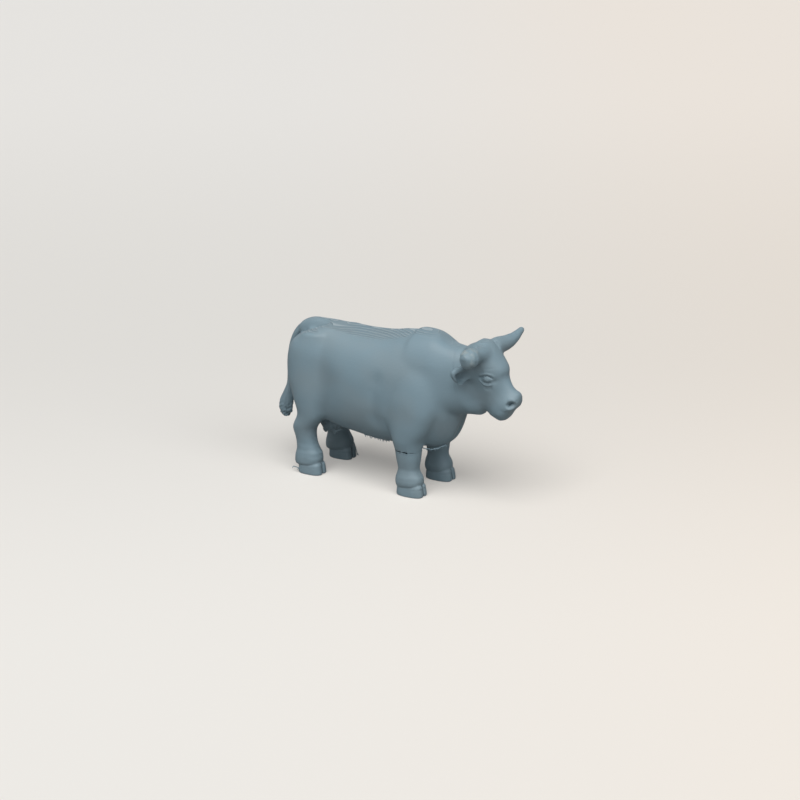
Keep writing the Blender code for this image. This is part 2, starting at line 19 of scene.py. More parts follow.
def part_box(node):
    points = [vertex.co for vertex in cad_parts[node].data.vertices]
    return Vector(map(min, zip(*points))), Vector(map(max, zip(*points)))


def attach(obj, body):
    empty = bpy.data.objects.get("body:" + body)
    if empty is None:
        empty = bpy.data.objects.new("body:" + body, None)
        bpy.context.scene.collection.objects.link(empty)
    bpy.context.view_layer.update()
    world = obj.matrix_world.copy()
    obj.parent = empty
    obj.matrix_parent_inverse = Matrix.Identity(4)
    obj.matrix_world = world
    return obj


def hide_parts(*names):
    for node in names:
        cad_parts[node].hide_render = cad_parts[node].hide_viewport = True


bl_info = {
    "name": "Printed Cattle Figure",
    "version": (1, 0, 0),
    "blender": (4, 5, 0),
    "location": "3D View > Sidebar > Cattle Figure",
    "description": "Builds a small printed cattle figure on a pale table, piece by piece",
    "category": "Object",
}

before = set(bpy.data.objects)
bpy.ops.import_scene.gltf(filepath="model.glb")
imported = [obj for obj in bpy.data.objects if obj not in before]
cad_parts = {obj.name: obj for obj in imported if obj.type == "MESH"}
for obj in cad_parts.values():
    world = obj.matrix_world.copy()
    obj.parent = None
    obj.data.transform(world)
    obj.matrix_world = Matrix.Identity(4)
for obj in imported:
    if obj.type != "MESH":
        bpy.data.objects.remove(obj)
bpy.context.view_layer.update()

MM = 0.001
AHEAD = Vector((1, 0, 0))
LEFT = Vector((0, 1, 0))
UP = Vector((0, 0, 1))

# Least weight at which a point of a skin is worked at all
LEAST_WEIGHT = 0.001
# Angle between faces, in degrees, above which an edge stays sharp
SHARP_ANGLE = 50
# Rings at the top of the lower leg that the thigh or the shoulder starts from
SHANK_RINGS = 22

# Working measures in millimetres
SEAM_CLEARANCE = 0.02  # from the neck seam to the edge of each skin
NECK_OVERLAP = 5.0  # how far behind the neck seam the mass of the neck starts in the skin of the head
SHANK_OVERLAP = 5.0  # how far the mass of a lower leg runs on above its seam
SOLE_LEVEL = 0.1  # height at which the soles are cut flat
CUTTER_MARGIN = 0.7  # how far the cutter of a horn or an ear stands off it
TRIMMING_SKIN = 0.16  # spacing of the points of the tail's and the udder's surface

# Trunk sections: place along, top, bottom, half width, squareness
TRUNK_SHARES = (
    (0.00, 0.70, 0.41, 0.31, 2.2),
    (0.045, 0.87, 0.31, 0.60, 2.3),
    (0.125, 0.955, 0.18, 0.84, 2.4),
    (0.27, 1.03, 0.07, 0.93, 2.7),
    (0.45, 1.02, 0.02, 1.00, 2.5),
    (0.61, 1.035, 0.00, 1.00, 2.4),
    (0.745, 1.085, 0.00, 0.92, 2.2),
    (0.86, 1.06, 0.03, 0.79, 2.2),
    (0.95, 0.92, 0.11, 0.58, 2.2),
    (1.00, 0.70, 0.27, 0.27, 2.2),
)
# Neck sections: place along, height of the centre, lean in half turns, half depth, half width
NECK_SHARES = (
    (0.00, -0.02, 0.00, 1.19, 1.30),
    (0.36, 0.00, 0.01, 1.15, 1.20),
    (0.60, -0.01, 0.03, 1.00, 1.02),
    (0.80, -0.015, 0.055, 0.91, 0.87),
    (0.93, -0.03, 0.08, 0.86, 0.72),
    (1.00, 0.005, 0.10, 0.62, 0.46),
)
# Tail head sections: place along, height of the centre, radius
RIDGE_SHARES = (
    (0.00, -0.05, 0.80),
    (0.45, 0.00, 1.00),
    (0.75, -0.45, 0.96),
    (0.93, -0.75, 0.70),
    (1.00, -0.95, 0.56),
)
# Upper leg sections: height, place fore and aft, half depth, place outwards, half width
THIGH_SHARES = (
    (0.038, -0.215, 0.46, 1.00, 0.66),
    (0.154, 0.04, 0.53, 0.96, 0.77),
    (0.237, 0.06, 0.615, 0.93, 0.87),
    (0.32, 0.04, 0.735, 0.91, 0.92),
    (0.432, 0.035, 0.84, 0.88, 0.98),
    (0.56, 0.02, 0.99, 0.83, 1.03),
    (0.80, 0.03, 0.95, 0.79, 0.98),
    (1.00, 0.06, 0.68, 0.71, 0.74),
)
SHOULDER_SHARES = (
    (0.10, -0.12, 0.54, 1.00, 0.78),
    (0.28, -0.04, 0.84, 0.95, 0.90),
    (0.55, 0.02, 1.00, 0.86, 1.00),
    (0.82, 0.02, 0.86, 0.70, 0.86),
    (1.00, 0.00, 0.55, 0.50, 0.56),
)
# Lower leg sections above the hoof: height, place fore and aft, half depth, half width, slope
FORELEG_SHARES = (
    (0.195, -0.02, 0.60, 0.62, 1.0),
    (0.215, -0.05, 0.86, 0.86, 1.0),
    (0.245, -0.08, 0.95, 0.94, 1.0),
    (0.31, -0.10, 0.985, 0.97, 0.8),
    (0.40, -0.12, 0.94, 0.94, 0.5),
    (0.50, -0.15, 0.80, 0.85, 0.2),
    (0.585, -0.16, 0.73, 0.80, 0.0),
    (0.70, -0.17, 0.77, 0.85, 0.0),
    (0.85, -0.19, 0.86, 0.93, 0.0),
    (1.00, -0.21, 0.89, 0.95, 0.0),
)
HINDLEG_SHARES = (
    (0.195, -0.14, 0.60, 0.62, 1.0),
    (0.215, -0.17, 0.90, 0.86, 1.0),
    (0.25, -0.19, 0.99, 0.94, 1.0),
    (0.32, -0.19, 1.02, 0.96, 0.8),
    (0.40, -0.20, 0.98, 0.94, 0.5),
    (0.47, -0.19, 0.93, 0.90, 0.3),
    (0.556, -0.24, 0.82, 0.83, 0.1),
    (0.667, -0.33, 0.75, 0.80, 0.0),
    (0.74, -0.375, 0.73, 0.80, 0.0),
    (0.86, -0.44, 0.75, 0.86, 0.0),
    (1.00, -0.52, 0.86, 0.94, 0.0),
)
# Length of the claws
CLAW_LENGTH_SHARES = {"foreleg": 1.0, "hindleg": 0.92}
# Claw sections: height, place fore and aft, half depth, place outwards, half width, slope
CLAW_SHARES = (
    (0.00, 0.08, 0.93, 0.32, 0.53, 0.0),
    (0.02, 0.08, 0.98, 0.32, 0.56, 0.0),
    (0.11, 0.06, 0.96, 0.32, 0.56, 0.4),
    (0.135, 0.055, 0.955, 0.32, 0.56, 0.6),
    (0.147, 0.05, 0.92, 0.315, 0.535, 0.7),
    (0.16, 0.045, 0.945, 0.315, 0.555, 0.8),
    (0.20, 0.03, 0.92, 0.31, 0.54, 1.0),
    (0.27, -0.04, 0.78, 0.28, 0.44, 1.0),
)
# Head sections: place along, forehead line, jaw line, half width, widening to the top, squareness
HEAD_SHARES = (
    (-0.04, -0.14, -0.58, 0.56, 0.00, 2.1),
    (0.045, -0.01, -0.78, 0.96, 0.12, 2.1),
    (0.18, 0.02, -0.91, 1.10, 0.16, 2.1),
    (0.35, 0.01, -1.00, 1.09, 0.14, 2.1),
    (0.45, -0.02, -0.99, 1.01, 0.12, 2.1),
    (0.53, -0.09, -0.99, 0.89, 0.10, 2.1),
    (0.64, -0.15, -0.96, 0.74, 0.05, 2.1),
    (0.74, -0.145, -0.92, 0.69, 0.00, 2.2),
    (0.83, -0.11, -0.87, 0.72, 0.00, 2.3),
    (0.905, -0.14, -0.80, 0.71, 0.00, 2.4),
    (0.965, -0.27, -0.745, 0.56, 0.00, 2.3),
    (1.00, -0.41, -0.64, 0.30, 0.00, 2.2),
)
# Roots of the horns and the ears on the head: place along, height from the forehead line, place across
HORN_ROOT_SHARES = (0.12, -0.098, 0.867)
EAR_ROOT_SHARES = (0.287, -0.442, 0.90)
TAIL_ROOT_SHARES = (0.926, -0.74)
# Where the cutters of the horns and the ears start, along their own sections
HORN_CUT_SHARE = 0.12
EAR_CUT_SHARE = 0.10
# Horn sections: outwards, ahead, upwards, radius
LEFT_HORN_SHARES = (
    (-0.20, 0.00, -0.02, 1.00),
    (0.00, 0.00, -0.01, 1.06),
    (0.22, 0.04, -0.02, 1.00),
    (0.44, 0.09, 0.01, 0.84),
    (0.66, 0.13, 0.07, 0.65),
    (0.85, 0.15, 0.145, 0.47),
    (0.98, 0.16, 0.20, 0.37),
    (1.04, 0.165, 0.23, 0.22),
)
RIGHT_HORN_SHARES = (
    (-0.20, 0.00, -0.02, 0.70),
    (0.00, 0.00, -0.01, 0.66),
    (0.16, -0.03, -0.01, 0.76),
    (0.32, -0.055, -0.025, 1.02),
    (0.50, -0.085, -0.055, 1.20),
    (0.64, -0.105, -0.085, 1.06),
    (0.72, -0.115, -0.10, 0.86),
    (0.765, -0.12, -0.11, 0.48),
)
# Ear sections: place along, half width, fullness of the back, lip, depth of the cup
EAR_SHARES = (
    (-0.22, 0.36, 0.36, 0.30, -0.30),
    (0.00, 0.42, 0.42, 0.30, -0.25),
    (0.15, 0.62, 0.60, 0.24, 0.06),
    (0.30, 0.86, 0.80, 0.22, 0.36),
    (0.50, 1.00, 0.92, 0.22, 0.56),
    (0.72, 1.00, 0.86, 0.24, 0.56),
    (0.82, 0.93, 0.72, 0.26, 0.34),
    (0.90, 0.82, 0.56, 0.28, -0.20),
    (0.96, 0.62, 0.40, 0.22, -0.20),
    (1.00, 0.36, 0.22, 0.12, -0.12),
)
# How far the ear's upper edge runs ahead of its lower edge at the tip, as a share of its width
EAR_SLANT_SHARE = 0.45
# Tail sections: downwards, backwards, radius fore and aft, radius across
TAIL_SHARES = (
    (-0.055, -0.36, 0.80, 0.80),
    (0.00, 0.00, 0.90, 0.90),
    (0.10, 0.34, 0.86, 0.86),
    (0.25, 0.58, 0.78, 0.78),
    (0.45, 0.68, 0.70, 0.70),
    (0.62, 0.72, 0.72, 0.70),
    (0.74, 0.84, 1.05, 0.90),
    (0.86, 1.00, 1.36, 1.10),
    (0.94, 1.02, 1.18, 0.95),
    (0.99, 1.00, 0.70, 0.60),
    (1.00, 1.00, 0.40, 0.34),
)
# Udder sections: downwards, radius; teat sections: downwards, radius
UDDER_SHARES = (
    (0.00, 0.72),
    (0.28, 0.78),
    (0.42, 0.92),
    (0.60, 1.00),
    (0.80, 0.92),
    (0.94, 0.66),
    (1.00, 0.32),
)
TEAT_SHARES = ((0.00, 1.00), (0.60, 0.86), (0.90, 0.66), (1.00, 0.30))


def length(name, description, millimetres):
    return FloatProperty(
        name=name, description=description, default=millimetres * MM, min=0.0, unit="LENGTH", precision=5)


def angle(name, description, degrees):
    return FloatProperty(name=name, description=description, default=math.radians(degrees), unit="ROTATION")


def colour(name, description, *tint):
    return FloatVectorProperty(
        name=name, description=description, default=tint, size=3, min=0.0, max=1.0, subtype="COLOR")


def amount(name, description, value):
    return FloatProperty(name=name, description=description, default=value)


class CATTLE_PG_trunk(bpy.types.PropertyGroup):
    """Sizes of the trunk, the upper legs and the neck."""

    trunk_length: length("Trunk length", "From the rump to the breast", 67.8)
    trunk_centre: length("Trunk centre", "From the middle of the legs ahead to the middle of the trunk", 1.4)
    back_height: length("Back height", "From the ground to the back", 53.0)
    belly_height: length("Belly height", "From the ground to the belly line", 15.4)
    trunk_width: length("Trunk width", "Across the ribs", 29.2)
    thigh_top_drop: length("Thigh top drop", "From the back down to the top of the thigh", 1.4)
    thigh_depth: length("Thigh depth", "Fore and aft", 20.0)
    thigh_width: length("Thigh width", "Across one thigh", 13.0)
    shoulder_top_drop: length("Shoulder top drop", "From the back down to the top of the shoulder", 3.0)
    shoulder_depth: length("Shoulder depth", "Fore and aft", 20.0)
    shoulder_width: length("Shoulder width", "Across one shoulder", 12.6)
    neck_overlap: length("Neck overlap", "How far the neck starts inside the trunk", 17.3)
    neck_run: length("Neck run", "Length of the neck", 25.0)
    neck_axis_drop: length("Neck axis drop", "From the back down to the middle of the neck", 10.7)
    neck_depth: length("Neck depth", "From crest to throat", 26.0)
    neck_width: length("Neck width", "Across the neck", 18.4)
    neck_seam_reach: length("Neck seam reach", "From the front of the trunk to the neck seam", 1.9)
    neck_seam_lean: angle("Neck seam lean", "How far the seam leans forwards at its foot", 10.5)
    ridge_overlap: length("Tail head overlap", "How far the tail head starts inside the trunk", 14.5)
    ridge_run: length("Tail head run", "Length of the tail head", 13.6)
    ridge_sink: length("Tail head sink", "From the back down to the middle of the tail head", 1.7)
    ridge_radius: length("Tail head radius", "Thickness of the tail head", 3.0)


class CATTLE_PG_legs(bpy.types.PropertyGroup):
    """Sizes of the lower legs and of the seam above them."""

    seam_height: length("Seam height", "From the ground to the seam of the legs", 16.2)
    track: length("Track", "Between the left and the right leg", 19.2)
    wheelbase: length("Wheelbase", "Between the front and the hind legs", 41.5)
    leg_depth: length("Leg depth", "Fore and aft", 10.2)
    leg_width: length("Leg width", "Across one leg", 8.2)
    coronet_slope: angle("Coronet slope", "Slope of the line above the hoof", 7.0)
    claw_gap: length("Claw gap", "Slit between the two claws of a hoof", 0.6)
    hairline: length("Hairline", "Height of the closed part of the seam", 0.05)
    dash_gap: length("Dash gap", "Height of the open dashes of the front seams", 0.62)


class CATTLE_PG_head(bpy.types.PropertyGroup):
    """Sizes of the head, the horns and the ears."""

    poll_reach: length("Poll reach", "From the neck seam forwards to the poll", 8.1)
    poll_rise: length("Poll rise", "From the middle of the neck seam up to the poll", 15.4)
    head_length: length("Head length", "From the poll to the muzzle", 26.5)
    head_depth: length("Head depth", "From the forehead to the jaw", 16.6)
    head_width: length("Head width", "Across the cheeks", 12.0)
    head_pitch: angle("Head pitch", "How far the face slopes down", 53.1)
    horn_reach: length("Horn reach", "Outwards from the root to the tip", 12.7)
    horn_radius: length("Horn radius", "At the root", 2.8)
    ear_length: length("Ear length", "From root to tip", 9.6)
    ear_width: length("Ear width", "Across the leaf", 6.6)
    ear_backward: angle("Ear backward", "How far the ear points back", 26.0)
    ear_droop: angle("Ear droop", "How far the ear hangs", 6.0)
    ear_roll: angle("Ear roll", "How far the cup turns down", 5.0)


class CATTLE_PG_rear(bpy.types.PropertyGroup):
    """Sizes of the tail and the udder."""

    tail_hang: length("Tail hang", "From the root to the end of the switch", 33.9)
    tail_sweep: length("Tail sweep", "How far the switch stands behind the root", 7.6)
    tail_radius: length("Tail radius", "Thickness of the tail", 2.1)
    udder_from_axle: length("Udder from axle", "Ahead of the hind legs", 2.55)
    udder_root_rise: length("Udder root rise", "From the belly line up to the udder's root", 7.2)
    udder_drop: length("Udder drop", "From the root to the underside", 9.2)
    udder_length: length("Udder length", "Fore and aft", 9.2)
    udder_width: length("Udder width", "Across the udder", 7.4)
    teat_spread_x: length("Teat spread fore and aft", "From the middle of the udder", 2.0)
    teat_spread_y: length("Teat spread sideways", "From the middle of the udder", 1.6)
    teat_root: length("Teat root", "How far the teats start inside the udder", 1.8)
    teat_length: length("Teat length", "From root to tip", 2.4)
    teat_radius: length("Teat radius", "At the root", 0.95)


class CATTLE_PG_print(bpy.types.PropertyGroup):
    """How the plastic was laid down, and its colours."""

    layer: length("Layer height", "Height of one printed layer", 0.4)
    bead: length("Bead", "How far each layer swells on an upright wall", 0.012)
    fuzz: length("Fuzz", "Unevenness of the plastic", 0.02)
    body_skin: length("Body skin", "Spacing of the points of the body's surface", 0.36)
    head_skin: length("Head skin", "Spacing of the points of the head's surface", 0.16)
    leg_skin: length("Leg skin", "Spacing of the points of a leg's surface", 0.2)
    string_spacing: length("String spacing", "Between the strings of a ragged edge", 0.55)
    string_length: length("String length", "How far a string hangs", 0.7)
    string_radius: length("String radius", "Thickness of a string", 0.15)
    seed: IntProperty(name="Seed", description="Sets the scatter of print marks", default=7, min=0)
    plastic: colour("Plastic", "Blue-grey of the whole figure", 0.172, 0.252, 0.300)
    plastic_warm: colour("Worn plastic", "Greyer tint in patches", 0.182, 0.250, 0.288)
    scar: colour("Scar", "Pale stress marks on the short horn", 0.40, 0.42, 0.38)
    pin: colour("Pin", "Plastic of the hidden dowels", 0.150, 0.200, 0.230)


class CATTLE_PG_stage(bpy.types.PropertyGroup):
    """Table, light and camera."""

    table_size: length("Table size", "Side of the table top", 12000.0)
    # Painted light and shade: the table is painted lighter in front, darker in a band behind the figure and
    # lighter again far off
    table_near: colour("Table, near", "Table in front of the figure", 0.82, 0.80, 0.77)
    table_shade_band: colour("Table, behind", "Darkest band behind the figure", 0.715, 0.70, 0.675)
    table_far: colour("Table, far", "Table at the top of the picture", 0.765, 0.75, 0.73)
    table_warm: colour("Table, right", "Tint of the right side", 1.03, 0.985, 0.94)
    table_bounce: colour("Table, bounce", "Colour that the figure receives from the table", 0.30, 0.29, 0.28)
    table_glow: amount("Table glow", "Share of the table's look that shadows do not reach", 0.33)
    camera_azimuth: angle("Camera azimuth", "Round the figure, from its right side to its nose", 32.48)
    camera_elevation: angle("Camera elevation", "Above the table", 18.49)
    camera_distance: length("Camera distance", "From the camera to what it looks at", 762.5)
    lens: FloatProperty(
        name="Lens", description="Focal length on a 36 mm wide sensor", default=99.0, unit="CAMERA")
    key_strength: amount("Key strength", "Light of the soft main lamp", 2.75)
    key_softness: angle("Key softness", "Width of the main lamp as seen from the figure", 50.0)
    key_azimuth: angle("Key azimuth", "Round the figure, from its right side to its nose", 14.0)
    key_elevation: angle("Key elevation", "Above the table", 62.0)
    cross_strength: amount("Cross strength", "Light of the weaker lamp", 0.75)
    cross_softness: angle("Cross softness", "Width of the weaker lamp as seen from the figure", 35.0)
    cross_azimuth: angle("Cross azimuth", "Round the figure, from its right side to its nose", 78.0)
    cross_elevation: angle("Cross elevation", "Above the table", 38.0)
    fill_azimuth: angle("Fill azimuth", "Round the figure, from its right side to its nose", 15.0)
    fill_elevation: angle("Fill elevation", "Middle of the soft light on the camera's side", 22.0)
    fill_strength: amount("Fill strength", "Brightest part of the soft light", 0.56)
    gloss_strength: amount("Gloss strength", "Pale room in the reflections", 0.7)


GROUPS = {
    "cattle_trunk": CATTLE_PG_trunk,
    "cattle_legs": CATTLE_PG_legs,
    "cattle_head": CATTLE_PG_head,
    "cattle_rear": CATTLE_PG_rear,
    "cattle_print": CATTLE_PG_print,
    "cattle_stage": CATTLE_PG_stage,
}


class Millimetres:
    """Reads the lengths of one property group in millimetres."""

    def __init__(self, group):
        self.group = group

    def __getattr__(self, name):
        return getattr(self.group, name) / MM


def trunk():
    return Millimetres(bpy.context.scene.cattle_trunk)


def legs():
    return Millimetres(bpy.context.scene.cattle_legs)


def skull():
    return Millimetres(bpy.context.scene.cattle_head)


def rear():
    return Millimetres(bpy.context.scene.cattle_rear)


def printing():
    return Millimetres(bpy.context.scene.cattle_print)


def frame_shift():
    """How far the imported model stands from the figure's own frame, read off the front dowels."""
    corners = [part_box(f"foreleg_dowel_{side}") for side in ("left", "right")]
    middle = (corners[0][0] + corners[0][1] + corners[1][0] + corners[1][1]) / 4 / MM
    own = legs().wheelbase / 2 + FORELEG_SHARES[-1][1] * legs().leg_depth / 2
    return Vector((middle.x - own, middle.y, 0))


# Objects, lofts and skins


@contextmanager
def opened(mesh):
    """A mesh open for editing, which takes the changes over at the end."""
    shape = bmesh.new()
    shape.from_mesh(mesh)
    yield shape
    shape.to_mesh(mesh)
    shape.free()


def placed(name, data):
    """A new object in the scene."""
    thing = bpy.data.objects.new(name, data)
    bpy.context.scene.collection.objects.link(thing)
    return thing


def duplicate(thing):
    """A second object in the scene with a mesh of its own."""
    second = thing.copy()
    second.data = thing.data.copy()
    bpy.context.scene.collection.objects.link(second)
    return second


def interpolate(rows, steps):
    """Rows on a smooth curve through the given rows, with steps to each interval."""
    smooth = []
    for i in range(len(rows) - 1):
        before, start = rows[max(i - 1, 0)], rows[i]
        end, after = rows[i + 1], rows[min(i + 2, len(rows) - 1)]
        for step in range(steps):
            t = step / steps
            smooth.append(tuple(
                b + 0.5 * t * (c - a + t * (2 * a - 5 * b + 4 * c - d + t * (3 * (b - c) + d - a)))
                for a, b, c, d in zip(before, start, end, after)
            ))
    smooth.append(rows[-1])
    return smooth


def oval(half_across, up, down, square=2.2, egg=0.0, points=96):
    """Points (across, vertical) of a squared oval."""
    outline = []
    for i in range(points):
        turn = 2 * math.pi * i / points
        c, s = math.cos(turn), math.sin(turn)
        across = half_across * math.copysign(abs(c) ** (2 / square), c) * (1 + egg * s)
        outline.append((across, (up if s > 0 else down) * math.copysign(abs(s) ** (2 / square), s)))
    return outline


def ring(outline, centre, across, up):
    return [centre + across * a + up * b for a, b in outline]


def loft(name, rings):
    """One closed mesh through rings of points."""
    count = len(rings[0])
    points = [point for loop in rings for point in loop]
    faces = []
    for k in range(len(rings) - 1):
        for i in range(count):
            j = (i + 1) % count
            faces.append((k * count + i, k * count + j, (k + 1) * count + j, (k + 1) * count + i))
    faces.append(tuple(range(count)))
    faces.append(tuple(range((len(rings) - 1) * count, len(rings) * count)))
    mesh = bpy.data.meshes.new(name)
    mesh.from_pydata(points, [], faces)
    with opened(mesh) as shape:
        bmesh.ops.recalc_face_normals(shape, faces=shape.faces)
    return placed(name, mesh)


def tube(name, rows, points=48, square=2.0):
    """A loft round a centre line; each row gives a centre, a radius in the plane and one across."""
    centres = [Vector(row[0]) for row in rows]
    rings = []
    for i, row in enumerate(rows):
        run = (centres[min(i + 1, len(rows) - 1)] - centres[max(i - 1, 0)]).normalized()
        side = row[3]
        across = (side - run * side.dot(run)).normalized()
        outline = oval(row[2], row[1], row[1], square, points=points)
        rings.append(ring(outline, centres[i], across, run.cross(across)))
    return loft(name, rings)


def apply_modifiers(thing):
    graph = bpy.context.evaluated_depsgraph_get()
    result = bpy.data.meshes.new_from_object(thing.evaluated_get(graph))
    thing.modifiers.clear()
    thing.data = result


def smoothing_rounds(voxel, softness):
    """Rounds of half-strength smoothing; softness is the square of the length that they round off."""
    return max(2, round(softness / (0.125 * voxel * voxel)))


def melt(name, masses, voxel, softness):
    """The masses melted into one skin of evenly spaced points."""
    mesh = bpy.data.meshes.new(name)
    with opened(mesh) as shape:
        for mass in masses:
            shape.from_mesh(mass.data)
    for mass in masses:
        bpy.data.objects.remove(mass)
    thing = placed(name, mesh)
    remesh = thing.modifiers.new("melt", "REMESH")
    remesh.mode = "VOXEL"
    remesh.voxel_size = voxel
    smooth = thing.modifiers.new("smooth", "SMOOTH")
    smooth.factor = 0.5
    smooth.iterations = smoothing_rounds(voxel, softness)
    apply_modifiers(thing)
    return thing


def cut_away(thing, point, normal):
    """Everything on the side the normal points to is cut off, and the cut is closed."""
    with opened(thing.data) as shape:
        parts = shape.verts[:] + shape.edges[:] + shape.faces[:]
        bmesh.ops.bisect_plane(shape, geom=parts, plane_co=point, plane_no=normal, clear_outer=True)
        rim = [edge for edge in shape.edges if edge.is_boundary]
        bmesh.ops.holes_fill(shape, edges=rim, sides=0)
        split_caps(shape)


def split_caps(shape):
    """Faces of more than four corners, which close a cut, become triangles."""
    bmesh.ops.triangulate(shape, faces=[face for face in shape.faces if len(face.verts) > 4])


class Clay:
    """A skin that is worked: swollen, grooved and smoothed at named places."""

    def __init__(self, thing):
        self.thing = thing
        mesh = thing.data
        self.points = np.empty(len(mesh.vertices) * 3)
        mesh.vertices.foreach_get("co", self.points)
        self.points = self.points.reshape(-1, 3)
        edges = np.empty(len(mesh.edges) * 2, np.int64)
        mesh.edges.foreach_get("vertices", edges)
        self.edges = edges.reshape(-1, 2)

    def show(self):
        """The worked points go back to the mesh."""
        self.thing.data.vertices.foreach_set("co", self.points.ravel())
        self.thing.data.update()

    def normals(self):
        self.show()
        flat = np.empty(len(self.points) * 3)
        self.thing.data.vertex_normals.foreach_get("vector", flat)
        return flat.reshape(-1, 3)

    def push(self, amount):
        self.points += self.normals() * amount[:, None]

    def sides(self, mirrored):
        return (-1, 1) if mirrored else (-1,)

    def swell(self, centre, radii, height, mirrored=True, power=2):
        """A soft lump, or a hollow where the height is below zero."""
        amount = np.zeros(len(self.points))
        for side in self.sides(mirrored):
            middle = np.array((centre[0], -side * centre[1], centre[2]))
            offset = np.sqrt((((self.points - middle) / np.array(radii)) ** 2).sum(1))
            amount += height * np.exp(-(offset ** power))
        self.push(amount)

    def reach(self, path, side, flat):
        """Distance of every point to a path, and how far along the path it lies."""
        stops = np.array(path, float)
        if flat:
            stops = stops.reshape(-1, 2)
            where = self.points[:, (0, 2)]
        else:
            stops = stops * (1, -side, 1)
            where = self.points
        runs = np.linalg.norm(np.diff(stops, axis=0), axis=1)
        total, done = runs.sum(), 0.0
        best = np.full(len(where), np.inf)
        along = np.zeros(len(where))
        for start, end, run in zip(stops, stops[1:], runs):
            t = np.clip((where - start) @ (end - start) / run ** 2, 0, 1)
            away = np.linalg.norm(where - start - t[:, None] * (end - start), axis=1)
            nearer = away < best
            best[nearer] = away[nearer]
            along[nearer] = (done + t[nearer] * run) / total
            done += run
        if flat:
            best[self.points[:, 1] * side < flat] = np.inf
        return best, along

    def groove(self, path, width, depth, lip=0.0, mirrored=True, flat=0.0, fade=0.25, power=2):
        """A groove along a path with raised lips, or a ridge where the depth is below zero.

        With flat, the path gives X and Z only and works on the skin further out than flat.
        """
        amount = np.zeros(len(self.points))
        for side in self.sides(mirrored):
            away, along = self.reach(path, side, flat)
            ends = np.clip(np.minimum(along, 1 - along) / max(fade, 1e-6), 0, 1) if fade else 1.0
            profile = lip * np.exp(-(((away - 1.9 * width) / width) ** 2))
            profile -= depth * np.exp(-((away / width) ** power))
            amount += np.where(np.isfinite(away), profile, 0) * ends * ends * (3 - 2 * ends)
        self.push(amount)

    def settle(self, rounds, weight):
        """Smooths the skin where the weight is above zero."""
        a, b = self.edges.T
        chosen = weight > LEAST_WEIGHT
        near = chosen[a] | chosen[b]
        places, ends = np.unique(np.concatenate((a[near], b[near])), return_inverse=True)
        a, b = ends.reshape(2, -1)
        points, share = self.points[places], 0.5 * weight[places, None]
        degree = np.bincount(a, minlength=len(places)) + np.bincount(b, minlength=len(places))
        for _ in range(rounds):
            mean = np.stack([
                np.bincount(a, points[b, k], len(places)) + np.bincount(b, points[a, k], len(places))
                for k in range(3)], 1) / degree[:, None]
            points += (mean - points) * share
        self.points[places] = points

    def from_line(self, start, end):
        """Distance of every point to a straight line between two places."""
        start, end = np.array(start), np.array(end)
        t = np.clip((self.points - start) @ (end - start) / ((end - start) @ (end - start)), 0, 1)
        return np.linalg.norm(self.points - start - t[:, None] * (end - start), axis=1)

    def near(self, centre, radius):
        """1 at a place, falling to 0 at a distance."""
        away = np.linalg.norm(self.points - np.array(centre), axis=1)
        return np.clip(1.5 - 1.5 * away / radius, 0, 1)

    def ripple(self, size, height, seed, weight=1.0):
        """Uneven hand-made surface: a few sine waves in seeded directions."""
        random = np.random.default_rng(seed)
        waves = 14
        amount = np.zeros(len(self.points))
        for _ in range(waves):
            direction = random.normal(size=3)
            direction /= np.linalg.norm(direction)
            wave = size * random.uniform(0.7, 1.6)
            amount += np.sin(self.points @ direction * 2 * math.pi / wave + random.uniform(0, 6.28))
        self.push(amount * height / waves ** 0.5 * weight)

    def follow(self, guide, weight):
        """Pulls the points onto another skin by a weight for each point."""
        tree = BVHTree.FromObject(guide, bpy.context.evaluated_depsgraph_get())
        for i in np.nonzero(weight > LEAST_WEIGHT)[0]:
            place = tree.find_nearest(Vector(self.points[i]))[0]
            self.points[i] += (np.array(place) - self.points[i]) * weight[i]


# Masses of the figure


def trunk_rear():
    return trunk().trunk_centre - trunk().trunk_length / 2


def trunk_front():
    return trunk().trunk_centre + trunk().trunk_length / 2


def trunk_mass():
    size = trunk()
    rings = []
    depth = size.back_height - size.belly_height
    for along, top, bottom, half_width, square in interpolate(TRUNK_SHARES, 8):
        x = trunk_rear() + along * size.trunk_length
        middle = size.belly_height + depth * (top + bottom) / 2
        half_depth = depth * (top - bottom) / 2
        outline = oval(half_width * size.trunk_width / 2, half_depth, half_depth, square, points=160)
        rings.append(ring(outline, Vector((x, 0, middle)), LEFT, UP))
    return loft("trunk_mass", rings)


def neck_mass():
    size = trunk()
    root = Vector((trunk_front() - size.neck_overlap, 0, size.back_height - size.neck_axis_drop))
    rings = []
    for along, height, lean, half_depth, half_width in interpolate(NECK_SHARES, 8):
        centre = root + AHEAD * along * size.neck_run + UP * height * size.neck_depth
        up = Matrix.Rotation(-lean * math.pi, 3, LEFT) @ UP
        half = half_depth * size.neck_depth / 2
        rings.append(ring(oval(half_width * size.neck_width / 2, half, half, points=128), centre, LEFT, up))
    return loft("neck_mass", rings)


def ridge_point(along, height):
    size = trunk()
    start = Vector((trunk_rear() + size.ridge_overlap, 0, size.back_height - size.ridge_sink))
    return start - AHEAD * along * size.ridge_run + UP * height * size.ridge_radius


def ridge_mass():
    rows = []
    for along, height, radius in interpolate(RIDGE_SHARES, 6):
        thick = radius * trunk().ridge_radius
        rows.append((ridge_point(along, height), thick, thick, LEFT))
    return tube("ridge_mass", rows)


def leg_rings(side, axle_x, shares):
    size = legs()
    rings = []
    for height, fore, half_depth, half_width, slope in interpolate(shares, 5):
        x = axle_x + fore * size.leg_depth / 2
        centre = Vector((x, side * size.track / 2, height * size.seam_height))
        half = half_width * size.leg_width / 2
        tilt = -slope * bpy.context.scene.cattle_legs.coronet_slope
        ahead = Matrix.Rotation(tilt, 3, LEFT) @ AHEAD
        rings.append(ring(oval(half_depth * size.leg_depth / 2, half, half, 2.4), centre, ahead, LEFT))
    return rings


